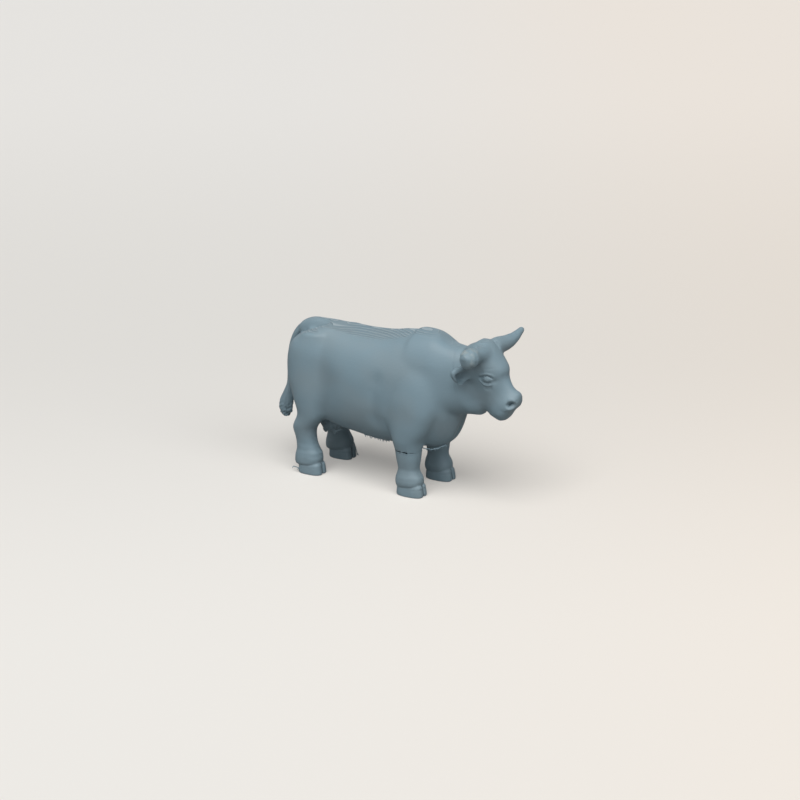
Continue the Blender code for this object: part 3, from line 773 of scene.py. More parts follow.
def upper_leg_mass(side, axle_x, shares, leg_shares, top_drop, depth, width):
    """The thigh or shoulder, from the lower leg up into the trunk."""
    size = legs()
    rings = leg_rings(side, axle_x, leg_shares)[-SHANK_RINGS:]
    for height, fore, half_depth, outwards, half_width in interpolate(shares, 6):
        z = size.seam_height + height * (trunk().back_height - top_drop - size.seam_height)
        centre = Vector((axle_x + fore * depth / 2, side * outwards * size.track / 2, z))
        half = half_width * width / 2
        rings.append(ring(oval(half_depth * depth / 2, half, half, 2.3), centre, AHEAD, LEFT))
    return loft("upper_leg_mass", rings)


def neck_seam():
    """A point on the neck seam and its normal towards the head."""
    lean = bpy.context.scene.cattle_trunk.neck_seam_lean
    normal = Matrix.Rotation(-lean, 3, LEFT) @ AHEAD
    size = trunk()
    return Vector((trunk_front() + size.neck_seam_reach, 0, size.back_height - size.neck_axis_drop)), normal


def face_turn():
    return Matrix.Rotation(bpy.context.scene.cattle_head.head_pitch, 3, LEFT)


def head_point(along, height, across):
    size = skull()
    place = face_turn() @ Vector((along * size.head_length, 0, height * size.head_depth))
    poll = neck_seam()[0] + AHEAD * size.poll_reach + UP * size.poll_rise
    return poll + LEFT * across * size.head_width / 2 + place


def head_mass():
    size = skull()
    forehead = face_turn() @ UP
    rings = []
    for along, top, bottom, half_width, egg, square in interpolate(HEAD_SHARES, 8):
        half = (top - bottom) / 2 * size.head_depth
        outline = oval(half_width * size.head_width / 2, half, half, square, egg, points=128)
        rings.append(ring(outline, head_point(along, (top + bottom) / 2, 0), LEFT, forehead))
    return loft("head_mass", rings)


def leg_places():
    """Name, place of the axle and sections of the front and the hind legs."""
    half = legs().wheelbase / 2
    return ("foreleg", half, FORELEG_SHARES), ("hindleg", -half, HINDLEG_SHARES)


# Working skins that more than one piece is made from
whole = {}


def whole_skin():
    """The figure without its trimmings in one skin, from which body, head and legs take their edges."""
    if "skin" in whole:
        return whole["skin"]
    size = trunk()
    masses = [trunk_mass(), neck_mass(), ridge_mass(), head_mass()]
    for side in (-1, 1):
        masses.append(upper_leg_mass(
            side, legs().wheelbase / 2, SHOULDER_SHARES, FORELEG_SHARES,
            size.shoulder_top_drop, size.shoulder_depth, size.shoulder_width))
        masses.append(upper_leg_mass(
            side, -legs().wheelbase / 2, THIGH_SHARES, HINDLEG_SHARES,
            size.thigh_top_drop, size.thigh_depth, size.thigh_width))
    skin = melt("whole_skin", masses, printing().body_skin, 1.0)
    skin.hide_render = True
    clay = Clay(skin)
    shape_jaw(clay, printing().body_skin)
    shape_body(clay)
    clay.show()
    whole["skin"] = skin
    return skin


def shape_jaw(clay, voxel):
    """The wide valley behind the jaw, from the ear down to the throat."""
    weight = np.zeros(len(clay.points))
    for side in (-1, 1):
        for start, end in (((43.0, 5.5, 47.0), (42.5, 6.5, 40.0)), ((42.5, 6.5, 40.0), (44.5, 4.0, 34.5))):
            mirror = np.array((1, side, 1))
            away = clay.from_line(np.array(start) * mirror, np.array(end) * mirror)
            weight = np.maximum(weight, np.clip((4.5 - away) / 2.0, 0, 1))
    clay.settle(smoothing_rounds(voxel, 2.5), weight)
    clay.groove(((42.0, 46.5), (40.6, 41.0), (41.8, 37.0), (45.0, 34.6)), 2.4, 0.45, flat=3.0)


def shape_body(clay):
    """Muscles, hollows and folds of the trunk, neck and upper legs."""
    # The haunch stands clear of the tail head, with a valley between them
    clay.swell((-23.0, -10.0, 46.5), (6.5, 4.0, 6.0), 0.4)
    clay.swell((-26.6, -9.5, 52.0), (3.6, 5.0, 3.4), -1.7)
    clay.swell((-18.0, -7.6, 53.0), (5.0, 2.8, 2.6), 1.5, mirrored=False)
    valley = (
        (-32.0, -4.0, 40.0), (-30.2, -4.4, 45.5), (-26.5, -4.5, 49.0), (-21.5, -4.4, 51.5), (-15.0, -4.0, 53.5))
    clay.groove(valley, 1.7, 1.0)
    tail_head = (-31.5, 0.0, 50.5), (-27.0, 0.0, 53.0), (-20.0, 0.0, 54.2), (-13.0, 0.0, 54.2)
    clay.groove(tail_head, 2.4, -0.3, mirrored=False, fade=0.2)
    clay.swell((-18.0, 0.0, 54.0), (3.2, 3.0, 2.6), 0.8, mirrored=False)
    # The far side of the back falls away sooner
    clay.swell((-15.0, 10.0, 51.5), (11.0, 7.0, 6.0), -0.8, mirrored=False)
    clay.settle(120, clay.near(Vector((-22.0, 9.0, 52.0)), 7.0))
    clay.swell((-8.0, 5.8, 54.0), (8.0, 3.6, 4.0), -0.8, mirrored=False)
    clay.swell((4.0, 5.0, 55.0), (8.0, 3.8, 4.0), -0.2, mirrored=False)
    # Flank hollow and the fold ahead of the thigh
    clay.swell((-12.5, -13.5, 35.0), (5.0, 5.0, 8.5), -0.8)
    flank_fold = (-11.6, 33.2), (-11.7, 30.2), (-12.5, 27.5), (-14.3, 24.0), (-17.0, 20.0)
    clay.groove(flank_fold, 2.6, 0.45, flat=7.0, fade=0.5)
    # Ribs
    clay.swell((0.5, -14.5, 33.0), (11.0, 6.0, 10.0), 0.45)
    # Valley behind the shoulder, sharpest at the elbow
    clay.groove(((10.5, -13.0, 45.0), (8.4, -13.8, 36.0), (8.2, -13.4, 28.0), (9.4, -12.0, 21.0)), 2.6, 0.7)
    clay.groove(((12.0, 28.5), (12.4, 24.7), (13.2, 21.2), (14.0, 18.0)), 0.8, 0.22, flat=9.0, fade=0.4)
    # Shoulder blade and point of the shoulder
    clay.swell((17.5, -12.0, 42.0), (6.0, 5.0, 8.0), 0.25)
    clay.swell((26.0, -10.0, 31.0), (5.0, 5.0, 6.0), 0.2)
    clay.groove(((25.0, -10.5, 47.0), (29.0, -10.0, 40.0), (31.5, -8.0, 33.0)), 2.6, 0.2)
    # Narrow crest from the withers down the neck, full side of the throat
    clay.swell((32.5, 6.0, 53.5), (6.5, 3.6, 4.5), -0.8, mirrored=False)
    clay.swell((31.0, -5.5, 53.0), (6.0, 3.4, 4.0), 0.35, mirrored=False)
    clay.swell((39.0, 0.0, 54.3), (2.6, 4.0, 2.5), 0.9, mirrored=False)
    clay.swell((30.2, 1.5, 55.5), (5.5, 5.0, 3.2), -1.3, mirrored=False)
    clay.swell((33.0, -8.5, 34.5), (5.0, 4.0, 8.0), 1.4)
    for side in (-1, 1):
        clay.settle(200, clay.near(Vector((29.0, side * 10.0, 38.0)), 10.0))
    # Full breast
    clay.swell((27.5, 0.0, 18.5), (5.0, 7.0, 4.0), 0.8, mirrored=False)
    # Back: spine between two shallow gutters
    spine = (-14.0, 0.0, 54.0), (4.0, 0.0, 54.0), (18.0, 0.0, 56.0)
    clay.groove(spine, 2.4, -0.75, mirrored=False, fade=0.2)
    # Breast fold
    clay.groove(((35.5, 0.0, 28.0), (33.5, 0.0, 22.0), (29.0, 0.0, 17.5)), 1.3, 0.5, mirrored=False)
    clay.ripple(9.0, 0.05, 3)


# Materials


class Shade:
    """A shader value that adds its own Math nodes when it is used in sums."""

    def __init__(self, tree, socket=None):
        self.tree = tree
        self.socket = socket

    def node(self, kind, settings=None, inputs=None, output=0):
        """Any node: its settings first, then the values or links of its sockets."""
        node = self.tree.nodes.new(kind)
        for key, value in (settings or {}).items():
            setattr(node, key, value)
        for key, value in (inputs or {}).items():
            if isinstance(value, Shade):
                self.tree.links.new(value.socket, node.inputs[key])
            else:
                node.inputs[key].default_value = value
        return Shade(self.tree, node.outputs[output] if node.outputs else None)

    def math(self, operation, *values):
        return self.node("ShaderNodeMath", {"operation": operation}, dict(enumerate(values)))

    def __add__(self, other):
        return self.math("ADD", self, other)

    def __radd__(self, other):
        return self.math("ADD", other, self)

    def __sub__(self, other):
        return self.math("SUBTRACT", self, other)

    def __rsub__(self, other):
        return self.math("SUBTRACT", other, self)

    def __mul__(self, other):
        return self.math("MULTIPLY", self, other)

    def __rmul__(self, other):
        return self.math("MULTIPLY", other, self)

    def __truediv__(self, other):
        return self.math("DIVIDE", self, other)

    def __rtruediv__(self, other):
        return self.math("DIVIDE", other, self)

    def __pow__(self, other):
        return self.math("POWER", self, other)

    def clamped(self, low=0.0, high=1.0):
        return self.node("ShaderNodeClamp", None, {"Value": self, "Min": low, "Max": high})

    def vector_math(self, operation, first, second, output):
        return self.node("ShaderNodeVectorMath", {"operation": operation}, {0: first, 1: second}, output)

    def smoothly(self, low, high):
        """Rises from 0 to 1 between two values."""
        inputs = {"Value": self, "From Min": low, "From Max": high}
        return self.node("ShaderNodeMapRange", {"interpolation_type": "SMOOTHSTEP"}, inputs)

    def noise(self, place, size_mm, detail=2.0, roughness=0.5):
        inputs = {"Vector": place, "Scale": 1 / (size_mm * MM), "Detail": detail, "Roughness": roughness}
        return self.node("ShaderNodeTexNoise", None, inputs)

    def tint(self, factor, first, second):
        """Mixes two colours."""
        node = self.tree.nodes.new("ShaderNodeMix")
        node.data_type = "RGBA"
        for name, value in (("Factor", factor), ("A", first), ("B", second)):
            socket = [s for s in node.inputs if s.name == name and s.enabled][0]
            if isinstance(value, Shade):
                self.tree.links.new(value.socket, socket)
            elif name == "Factor":
                socket.default_value = value
            else:
                socket.default_value = (*value, 1.0)
        return Shade(self.tree, [s for s in node.outputs if s.enabled][0])


def printed_plastic(name, roughness=0.5, tone=1.0, rough_patch=None):
    """Blue-grey plastic laid down in layers; terraces show where the surface lies nearly level.

    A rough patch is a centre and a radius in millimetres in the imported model's frame.
    """
    group = bpy.context.scene.cattle_print
    layer = group.layer
    material = bpy.data.materials.new(name)
    material.use_nodes = True
    tree = material.node_tree
    shader = tree.nodes["Principled BSDF"]
    shade = Shade(tree)
    place = shade.node("ShaderNodeTexCoord", output="Object")
    facing = shade.node("ShaderNodeTexCoord", output="Normal")
    height = shade.node("ShaderNodeSeparateXYZ", None, {"Vector": place}, "Z")
    level = shade.math("ABSOLUTE", shade.node("ShaderNodeSeparateXYZ", None, {"Vector": facing}, "Z"))

    # Stepped layers: an upright wall and a level tread in each layer, fainter on the neck and the head
    wander = shade.noise(place, 6.0, 1.0) * 0.12
    rise = height / layer + wander
    part = shade.math("FRACT", rise)
    wall = (1 - level * level).clamped(0.04, 0.96)
    step = shade.math("MINIMUM", part / wall, (1 - part) / (1 - wall))
    ahead = shade.node("ShaderNodeSeparateXYZ", None, {"Vector": place}, "X")
    treads = level.smoothly(0.85, 0.96) * (1 - ahead.smoothly(13.0 * MM, 19.0 * MM) * 0.8)
    terraces = step * level * treads * layer
    # Round beads on upright walls, each layer a little different
    count = shade.math("FLOOR", rise)
    course = shade.node("ShaderNodeTexWhiteNoise", {"noise_dimensions": "1D"}, {"W": count})
    arch = 1 - (2 * part - 1) ** 2
    beads = arch * group.bead + course * (group.bead * 0.5)
    # Fine unevenness and a few specks
    fuzz = shade.noise(place, 0.9, 3.0) * group.fuzz + shade.noise(place, 0.16, 2.0) * (group.fuzz * 0.35)
    cells = {"Vector": place, "Scale": 1 / (3.4 * MM)}
    near = shade.node("ShaderNodeTexVoronoi", None, cells, "Distance")
    pick = shade.node("ShaderNodeTexVoronoi", None, cells, "Color")
    chosen = shade.math("GREATER_THAN", shade.node("ShaderNodeSeparateColor", None, {"Color": pick}), 0.86)
    specks = (1 - near / 0.05).clamped() * chosen
    relief = terraces + beads + fuzz + specks * (0.05 * MM)

    patches = shade.noise(place, 14.0, 2.0).smoothly(0.35, 0.7)
    base = shade.tint(patches, [c * tone for c in group.plastic], [c * tone for c in group.plastic_warm])
    # Painted highlight: the edge of each level tread is painted paler, so the layer lines show as light lines
    rim = (step.smoothly(0.6, 1.0) * treads * 0.6).clamped()
    base = shade.tint(rim, base, (0.42, 0.49, 0.53))
    gloss = shade.noise(place, 2.2, 2.0) * 0.12 + (roughness - 0.06)
    if rough_patch:
        centre, radius = rough_patch
        offset = shade.vector_math("DISTANCE", place, centre, "Value")
        patch = 1 - (offset / (radius * MM)).smoothly(0.55, 1.0)
        marks = shade.noise(place, 2.4, 2.0, 0.6).smoothly(0.45, 0.68) * patch
        base = shade.tint(marks * 0.3, base, list(group.scar))
        relief = relief + marks * (0.12 * MM)
    bump = shade.node("ShaderNodeBump", None, {"Height": relief, "Strength": 1.0, "Distance": 1.0})
    tree.links.new(base.socket, shader.inputs["Base Color"])
    tree.links.new(gloss.socket, shader.inputs["Roughness"])
    tree.links.new(bump.socket, shader.inputs["Normal"])
    shader.inputs["IOR"].default_value = 1.46
    shader.inputs["Specular IOR Level"].default_value = 0.42
    return material


def drop_fins(mesh):
    """Pairs of faces that lie on each other, which a cut can leave along its edge, are taken off."""
    with opened(mesh) as shape:
        bmesh.ops.remove_doubles(shape, verts=shape.verts, dist=2e-4)
        split_caps(shape)
        same = {}
        for face in shape.faces:
            same.setdefault(frozenset(vert.index for vert in face.verts), []).append(face)
        fins = [face for faces in same.values() if len(faces) > 1 for face in faces]
        bmesh.ops.delete(shape, geom=fins, context="FACES")


def finished(thing, node, material):
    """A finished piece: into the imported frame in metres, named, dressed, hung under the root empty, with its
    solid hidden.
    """
    drop_fins(thing.data)
    name = f"{node}_skin"
    thing.name = name
    thing.data.name = name
    thing.data.transform(Matrix.Scale(MM, 4) @ Matrix.Translation(frame_shift()))
    thing.data.shade_smooth()
    thing.data.set_sharp_from_angle(angle=math.radians(SHARP_ANGLE))
    thing.data.materials.clear()
    thing.data.materials.append(material)
    thing.hide_render = False
    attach(thing, "root")
    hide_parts(node)


# Dashes of the front seams: start and end round the leg in degrees from ahead to outwards, share of the gap
SEAM_DASHES = (
    (34.0, 55.0, 0.7),
    (61.0, 89.0, 1.0),
    (96.0, 140.0, 0.9),
    (-40.0, -20.0, 0.9),
    (-150.0, -110.0, 0.7),
)
DASH_TAPER = 3.0  # degrees over which a dash opens
DASH_FADE = 0.45  # height over which the bend of its edge fades
DASH_RIM = 1.2  # height that is bent at all
DASH_REACH = 9.0  # from the middle of the leg outwards


def open_seam(clay, side, axle_x, above):
    """Opens the seam of a front leg into dashes, from a hairline to a gap that lets no light out."""
    size = legs()
    centre = np.array((axle_x + FORELEG_SHARES[-1][1] * size.leg_depth / 2, side * size.track / 2))
    offset = clay.points[:, :2] - centre
    turn = np.degrees(np.arctan2(offset[:, 1] * side, offset[:, 0]))
    gap = np.full(len(turn), size.hairline)
    for start, end, share in SEAM_DASHES:
        edge = np.clip(np.minimum(turn - start, end - turn) / DASH_TAPER, 0, 1)
        gap = np.maximum(gap, size.hairline + edge * (size.dash_gap * share - size.hairline))
    height = clay.points[:, 2] - size.seam_height
    near = np.exp(-(height / DASH_FADE) ** 2) * (np.hypot(*offset.T) < DASH_REACH)
    rim = np.abs(height) < DASH_RIM
    clay.points[:, 2] += np.where(rim, near * gap / 2 * (1 if above else -1), 0)


class CattleOperator:
    """What the figure's operators share."""

    bl_options = {"REGISTER", "UNDO"}


class CATTLE_OT_body(CattleOperator, bpy.types.Operator):
    """Trunk, neck root, shoulders and thighs down to the leg seams"""

    bl_idname = "cattle.body"
    bl_label = "Body"

    def execute(self, context):
        body = duplicate(whole_skin())
        seam, normal = neck_seam()
        cut_away(body, seam - normal * SEAM_CLEARANCE, normal)
        cut_away(body, UP * legs().seam_height, -UP)
        clay = Clay(body)
        for side in (-1, 1):
            open_seam(clay, side, legs().wheelbase / 2, True)
        clay.show()
        finished(body, "body", printed_plastic("body_plastic"))
        return {"FINISHED"}


def claw_mass(side, axle_x, inner, scale):
    """The inner or the outer claw of a hoof, flat along the slit between them."""
    size = legs()
    rings = []
    for height, fore, half_depth, outwards, half_width, slope in interpolate(CLAW_SHARES, 6):
        y = side * size.track / 2 + inner * outwards * size.leg_width / 2
        centre = Vector((axle_x + fore * size.leg_depth / 2, y, height * size.seam_height))
        half = half_width * size.leg_width / 2
        ahead = Matrix.Rotation(-slope * bpy.context.scene.cattle_legs.coronet_slope, 3, LEFT) @ AHEAD
        ahead = Matrix.Rotation(inner * math.radians(-2.5), 3, UP) @ ahead
        across = UP.cross(ahead).normalized()
        loop = ring(oval(scale * half_depth * size.leg_depth / 2, half, half, 2.5), centre, ahead, across)
        for point in loop:
            fore = (point.x - axle_x) / (size.leg_depth / 2)
            parted = fore > 0.50 * scale or fore < -0.72 * scale
            least = size.claw_gap / 2 if parted else -size.claw_gap
            middle = side * size.track / 2
            point.y = middle + inner * max((point.y - middle) * inner, least)
        rings.append(loop)
    return loft("claw_mass", rings)


def leg_skin(side, axle_x, shares, claw_length):
    size = legs()
    rings = leg_rings(side, axle_x, shares)
    rings.append([point + UP * SHANK_OVERLAP for point in rings[-1]])
    masses = [loft("shank_mass", rings)]
    masses += [claw_mass(side, axle_x, inner, claw_length) for inner in (-1, 1)]
    leg = melt("leg", masses, printing().leg_skin, 0.05)
    clay = Clay(leg)
    clay.ripple(2.6, 0.02, 5)
    # The leg runs over into the figure's skin from 4 to 1 mm below the seam
    weight = np.clip((clay.points[:, 2] - (size.seam_height - 4.0)) / 3.0, 0, 1)
    clay.show()
    clay.follow(whole_skin(), weight)
    clay.show()
    cut_away(leg, UP * size.seam_height, UP)
    cut_away(leg, UP * SOLE_LEVEL, -UP)
    return leg


class CATTLE_OT_legs(CattleOperator, bpy.types.Operator):
    """The four lower legs with their cloven hooves"""

    bl_idname = "cattle.legs"
    bl_label = "Lower legs"

    def execute(self, context):
        material = printed_plastic("leg_plastic", 0.52, 0.97)
        for name, axle_x, shares in leg_places():
            for side, label in ((-1, "right"), (1, "left")):
                leg = leg_skin(side, axle_x, shares, CLAW_LENGTH_SHARES[name])
                if name == "foreleg":
                    clay = Clay(leg)
                    open_seam(clay, side, axle_x, False)
                    clay.show()
                finished(leg, f"{name}_{label}", material)
        return {"FINISHED"}


def horn_base(side):
    along, height, across = HORN_ROOT_SHARES
    return head_point(along, height, side * across)


def horn_mass(side, start=-0.2, grow=0.0):
    """A horn, or its cutter, which starts further out and stands off it."""
    size = skull()
    rows = []
    for out, ahead, rise, radius in interpolate(LEFT_HORN_SHARES if side > 0 else RIGHT_HORN_SHARES, 8):
        if out >= start:
            thick = radius * size.horn_radius + grow
            place = horn_base(side) + Vector((ahead, side * out, rise)) * size.horn_reach
            rows.append((place, thick, thick, UP))
    if grow:
        centre, thick = rows[-1][0], rows[-1][1]
        rows.append((centre + (centre - rows[-2][0]).normalized() * grow, thick, thick, UP))
    return tube("horn_mass", rows)


def ear_outline(half_width, back, lip, cup):
    """Points (across, vertical) of a leaf with a full back, a broad upper rim and a hollow face."""
    points = 96
    outline = []
    for i in range(points):
        turn = 2 * math.pi * i / points
        c, s = math.cos(turn), math.sin(turn)
        vertical = back * abs(s) ** 0.9
        if s < 0:
            inwards = min(max((0.68 - abs(c + 0.14)) / 0.30, 0), 1)
            vertical = -lip * abs(s) ** 0.5 + (lip + cup) * inwards ** 2 * (3 - 2 * inwards)
        outline.append((half_width * math.copysign(abs(c) ** 0.9, c), vertical))
    return outline


def ear_axis(side):
    """Root and tip of an ear."""
    group = bpy.context.scene.cattle_head
    along, height, across = EAR_ROOT_SHARES
    base = head_point(along, height, side * across)
    reach = Vector((
        -math.sin(group.ear_backward), side * math.cos(group.ear_backward), -math.sin(group.ear_droop)))
    return base, base + reach.normalized() * skull().ear_length


def ear_mass(side, start=-0.22, grow=0.0):
    """The cupped ear, or its cutter, which starts further out, stands off it and is full."""
    group, size = bpy.context.scene.cattle_head, skull()
    base, tip = ear_axis(side)
    reach = (tip - base).normalized()
    edge = (UP - reach * UP.dot(reach)).normalized()
    edge = Matrix.Rotation(side * group.ear_roll, 3, reach) @ edge
    back = edge.cross(reach) * side
    half = size.ear_width / 2
    rings = []
    for place, half_width, fullness, lip, cup in interpolate(EAR_SHARES, 8):
        if place < start:
            continue
        if grow:
            outline = oval(half_width * half + grow, fullness * half + grow, lip * half + 2 * grow)
        else:
            outline = ear_outline(half_width * half, fullness * half, lip * half, cup * half)
        slanted = edge + reach * place * EAR_SLANT_SHARE
        rings.append(ring(outline, base + reach * place * size.ear_length, slanted, back))
    if grow:
        rings.append([point + reach * grow for point in rings[-1]])
    return loft("ear_mass", rings)


def front_skin():
    """Head, horns and ears in one fine skin, meeting the neck at its seam."""
    if "front" in whole:
        return whole["front"]
    seam, normal = neck_seam()
    neck = neck_mass()
    cut_away(neck, seam - normal * NECK_OVERLAP, -normal)
    masses = [neck, head_mass()]
    for side in (-1, 1):
        masses += [horn_mass(side), ear_mass(side)]
    skin = melt("front_skin", masses, printing().head_skin, 0.10)
    clay = Clay(skin)
    # The head runs over into the figure's skin from 8 to 3 mm ahead of the seam, but not at the ears
    away = (clay.points - np.array(seam)) @ np.array(normal)
    weight = np.clip(1 - (away - 3.0) / 5.0, 0, 1) ** 1.5
    for side in (-1, 1):
        weight *= np.clip((clay.from_line(*ear_axis(side)) - 4.2) / 2.0, 0, 1)
    shape_jaw(clay, printing().head_skin)
    clay.show()
    clay.follow(whole_skin(), weight)
    # Crooks under the horns, and the roots of the ears
    for side, rounds in ((-1, 700), (1, 250)):
        clay.settle(rounds, clay.near(horn_base(side) + LEFT * side * 1.2 - UP * 1.6, 5.5))
    for across in (-1.05, 1.05):
        clay.settle(160, clay.near(head_point(*EAR_ROOT_SHARES[:2], across), 3.4))
    shape_head(clay)
    clay.show()
    cut_away(skin, seam + normal * SEAM_CLEARANCE, -normal)
    skin.hide_render = True
    whole["front"] = skin
    return skin


def carve(thing, cutter, operation):
    """Keeps the part of a skin inside or outside a cutter, which is used up."""
    cut = thing.modifiers.new("carve", "BOOLEAN")
    cut.operation = operation
    cut.solver = "MANIFOLD"
    cut.object = cutter
    apply_modifiers(thing)
    bpy.data.objects.remove(cutter)


def horn_cutter(side):
    return horn_mass(side, HORN_CUT_SHARE, CUTTER_MARGIN)


def ear_cutter(side):
    return ear_mass(side, EAR_CUT_SHARE, CUTTER_MARGIN)


class CATTLE_OT_head(CattleOperator, bpy.types.Operator):
    """Head with eyes, nostrils and mouth, back to the neck seam"""

    bl_idname = "cattle.head"
    bl_label = "Head"

    def execute(self, context):
        head = duplicate(front_skin())
        for side in (-1, 1):
            carve(head, horn_cutter(side), "DIFFERENCE")
            carve(head, ear_cutter(side), "DIFFERENCE")
        finished(head, "head", printed_plastic("head_plastic"))
        return {"FINISHED"}


def shape_head(clay):
    """Brow, eyes, nostrils, mouth and poll; flat strokes give X and Z as seen from the side."""
    # Forehead, bridge and tip of the nose, trim under the chin, fill of the right horn's crook
    clay.swell((52.6, 0.0, 48.8), (3.0, 3.6, 2.7), 0.60, mirrored=False)
    clay.swell((54.6, 0.0, 42.8), (3.0, 3.0, 3.4), 0.8, mirrored=False)
    clay.swell((57.4, 0.5, 40.2), (2.0, 3.4, 1.8), 1.3, mirrored=False)
    clay.swell((55.8, 0.0, 33.0), (3.4, 4.5, 2.8), -1.3, mirrored=False)
    clay.swell((46.8, -6.2, 52.0), (3.4, 3.0, 3.6), 1.1, mirrored=False)
    # Eye: hollow, ball, lines under the brow and the lid, upper lid, lower lid, iris, corner, folds
    clay.swell((48.4, -6.4, 44.8), (3.0, 2.8, 2.4), -0.25)
    clay.swell((48.3, -6.2, 45.2), (1.4, 2.2, 0.95), 0.50, power=3)
    clay.groove(((45.2, 45.6), (46.3, 45.8), (47.2, 46.2)), 0.36, 0.50, flat=2.5, fade=0.2)
    lid_line = (46.9, 46.1), (48.0, 46.5), (48.8, 46.4), (49.6, 45.9), (50.1, 45.2)
    clay.groove(lid_line, 0.22, 0.34, flat=2.5, fade=0.2)
    clay.groove(((45.0, 46.5), (46.5, 46.8), (48.1, 47.3), (49.6, 46.9), (50.6, 45.6)), 0.36, -0.24, flat=2.5)
    clay.groove(((45.0, 45.0), (46.1, 44.2), (46.9, 43.4), (48.0, 42.95), (49.2, 43.2), (50.2, 43.9)),
                0.30, -0.24, flat=2.5)
    clay.groove(((46.7, 44.5), (47.6, 44.1), (48.4, 44.0), (49.5, 44.4)), 0.26, 0.36, flat=2.5)
    clay.swell((50.6, -5.6, 44.5), (0.7, 1.6, 0.8), -0.4)
    clay.groove(((46.5, 42.2), (48.2, 41.8), (49.9, 42.4)), 0.7, 0.14, flat=2.5)
    clay.groove(((44.1, 48.1), (47.4, 48.9), (51.2, 49.2)), 0.35, 0.06, flat=2.0)
    # Nostril in a raised three-cornered ring
    clay.swell((56.3, -3.4, 37.0), (2.6, 2.0, 2.3), 0.22)
    clay.groove(((54.6, 38.6), (56.2, 38.9), (57.5, 38.0)), 0.6, -0.20, flat=1.5)
    clay.swell((56.4, -3.9, 36.8), (1.55, 1.9, 1.15), -2.2, power=4)
    # Mouth and chin
    clay.groove(((52.2, 34.9), (53.2, 34.3), (54.4, 34.0), (55.8, 34.5)), 0.45, 0.08, flat=0.5)
    clay.groove(((50.0, 32.2), (51.3, 31.7), (52.6, 31.3)), 0.35, 0.25, flat=0.3)
    # Poll with two printing pits in pale rims, on the right side only
    for x, y, z in ((43.9, -5.2, 55.6), (47.0, -4.6, 57.2)):
        clay.swell((x, y, z), (1.1, 1.1, 1.0), 0.14, mirrored=False)
        clay.swell((x, y, z), (0.55, 0.60, 0.40), -0.55, mirrored=False, power=4)
    clay.ripple(3.2, 0.02, 9)
    lobe = clay.near(horn_base(-1) + Vector((-0.8, -7.0, -0.6)), 6.0)
    clay.ripple(1.7, 0.10, 11, lobe)


class CATTLE_OT_horns(CattleOperator, bpy.types.Operator):
    """A slender swept horn on the left and a short blunt one on the right"""

    bl_idname = "cattle.horns"
    bl_label = "Horns"

    def execute(self, context):
        for side, label in ((1, "left"), (-1, "right")):
            horn = duplicate(front_skin())
            carve(horn, horn_cutter(side), "INTERSECT")
            lobe = horn_base(side) + frame_shift() + Vector((-1.2, side * 7.5, 0.8))
            patch = (tuple(lobe * MM), 5.0) if side < 0 else None
            finished(horn, f"horn_{label}", printed_plastic(f"horn_{label}_plastic", 0.55, 1.0, patch))
        return {"FINISHED"}


class CATTLE_OT_ears(CattleOperator, bpy.types.Operator):
    """Two cupped ears below the horns"""

    bl_idname = "cattle.ears"
    bl_label = "Ears"

    def execute(self, context):
        material = printed_plastic("ear_plastic", 0.55, 1.0)
        for side, label in ((1, "left"), (-1, "right")):
            ear = duplicate(front_skin())
            carve(ear, ear_cutter(side), "INTERSECT")
            finished(ear, f"ear_{label}", material)
        return {"FINISHED"}


class CATTLE_OT_tail(CattleOperator, bpy.types.Operator):
    """Hanging tail with its switch"""

    bl_idname = "cattle.tail"
    bl_label = "Tail"

    def execute(self, context):
        size = rear()
        base = ridge_point(*TAIL_ROOT_SHARES)
        rows = []
        for down, back, fore_radius, side_radius in interpolate(TAIL_SHARES, 8):
            place = base - AHEAD * back * size.tail_sweep - UP * down * size.tail_hang
            rows.append((place, fore_radius * size.tail_radius, side_radius * size.tail_radius, LEFT))
        tail = melt("tail", [tube("tail", rows, square=1.5)], TRIMMING_SKIN, 0.03)
        clay = Clay(tail)
        low = np.clip((22.0 - clay.points[:, 2]) / 5.0, 0, 1)
        clay.ripple(1.5, 0.22, 21, low)
        clay.show()
        finished(tail, "tail", printed_plastic("tail_plastic", 0.58, 0.95))
        return {"FINISHED"}


class CATTLE_OT_udder(CattleOperator, bpy.types.Operator):
    """Small udder with four teats"""

    bl_idname = "cattle.udder"
    bl_label = "Udder"

    def execute(self, context):
        size = rear()
        base = Vector((
            size.udder_from_axle - legs().wheelbase / 2, 0, trunk().belly_height + size.udder_root_rise))
        rings = []
        for down, radius in interpolate(UDDER_SHARES, 8):
            half = radius * size.udder_width / 2
            outline = oval(radius * size.udder_length / 2, half, half, points=64)
            rings.append(ring(outline, base - UP * down * size.udder_drop, AHEAD, LEFT))
        masses = [loft("udder_bag", rings)]
        root_z = size.teat_root - size.udder_drop
        for fore, side in ((-1, -1), (-1, 1), (1, -1), (1, 1)):
            spread = Vector((fore * size.teat_spread_x, side * size.teat_spread_y, root_z))
            rows = []
            for down, radius in interpolate(TEAT_SHARES, 5):
                place = base + spread - UP * down * size.teat_length
                rows.append((place, radius * size.teat_radius, radius * size.teat_radius, LEFT))
            masses.append(tube("teat", rows, 24))
        udder = melt("udder", masses, TRIMMING_SKIN, 0.06)
        clay = Clay(udder)
        clay.ripple(1.5, 0.16, 31)
        clay.show()
        finished(udder, "udder", printed_plastic("udder_plastic", 0.58, 0.95))
        return {"FINISHED"}


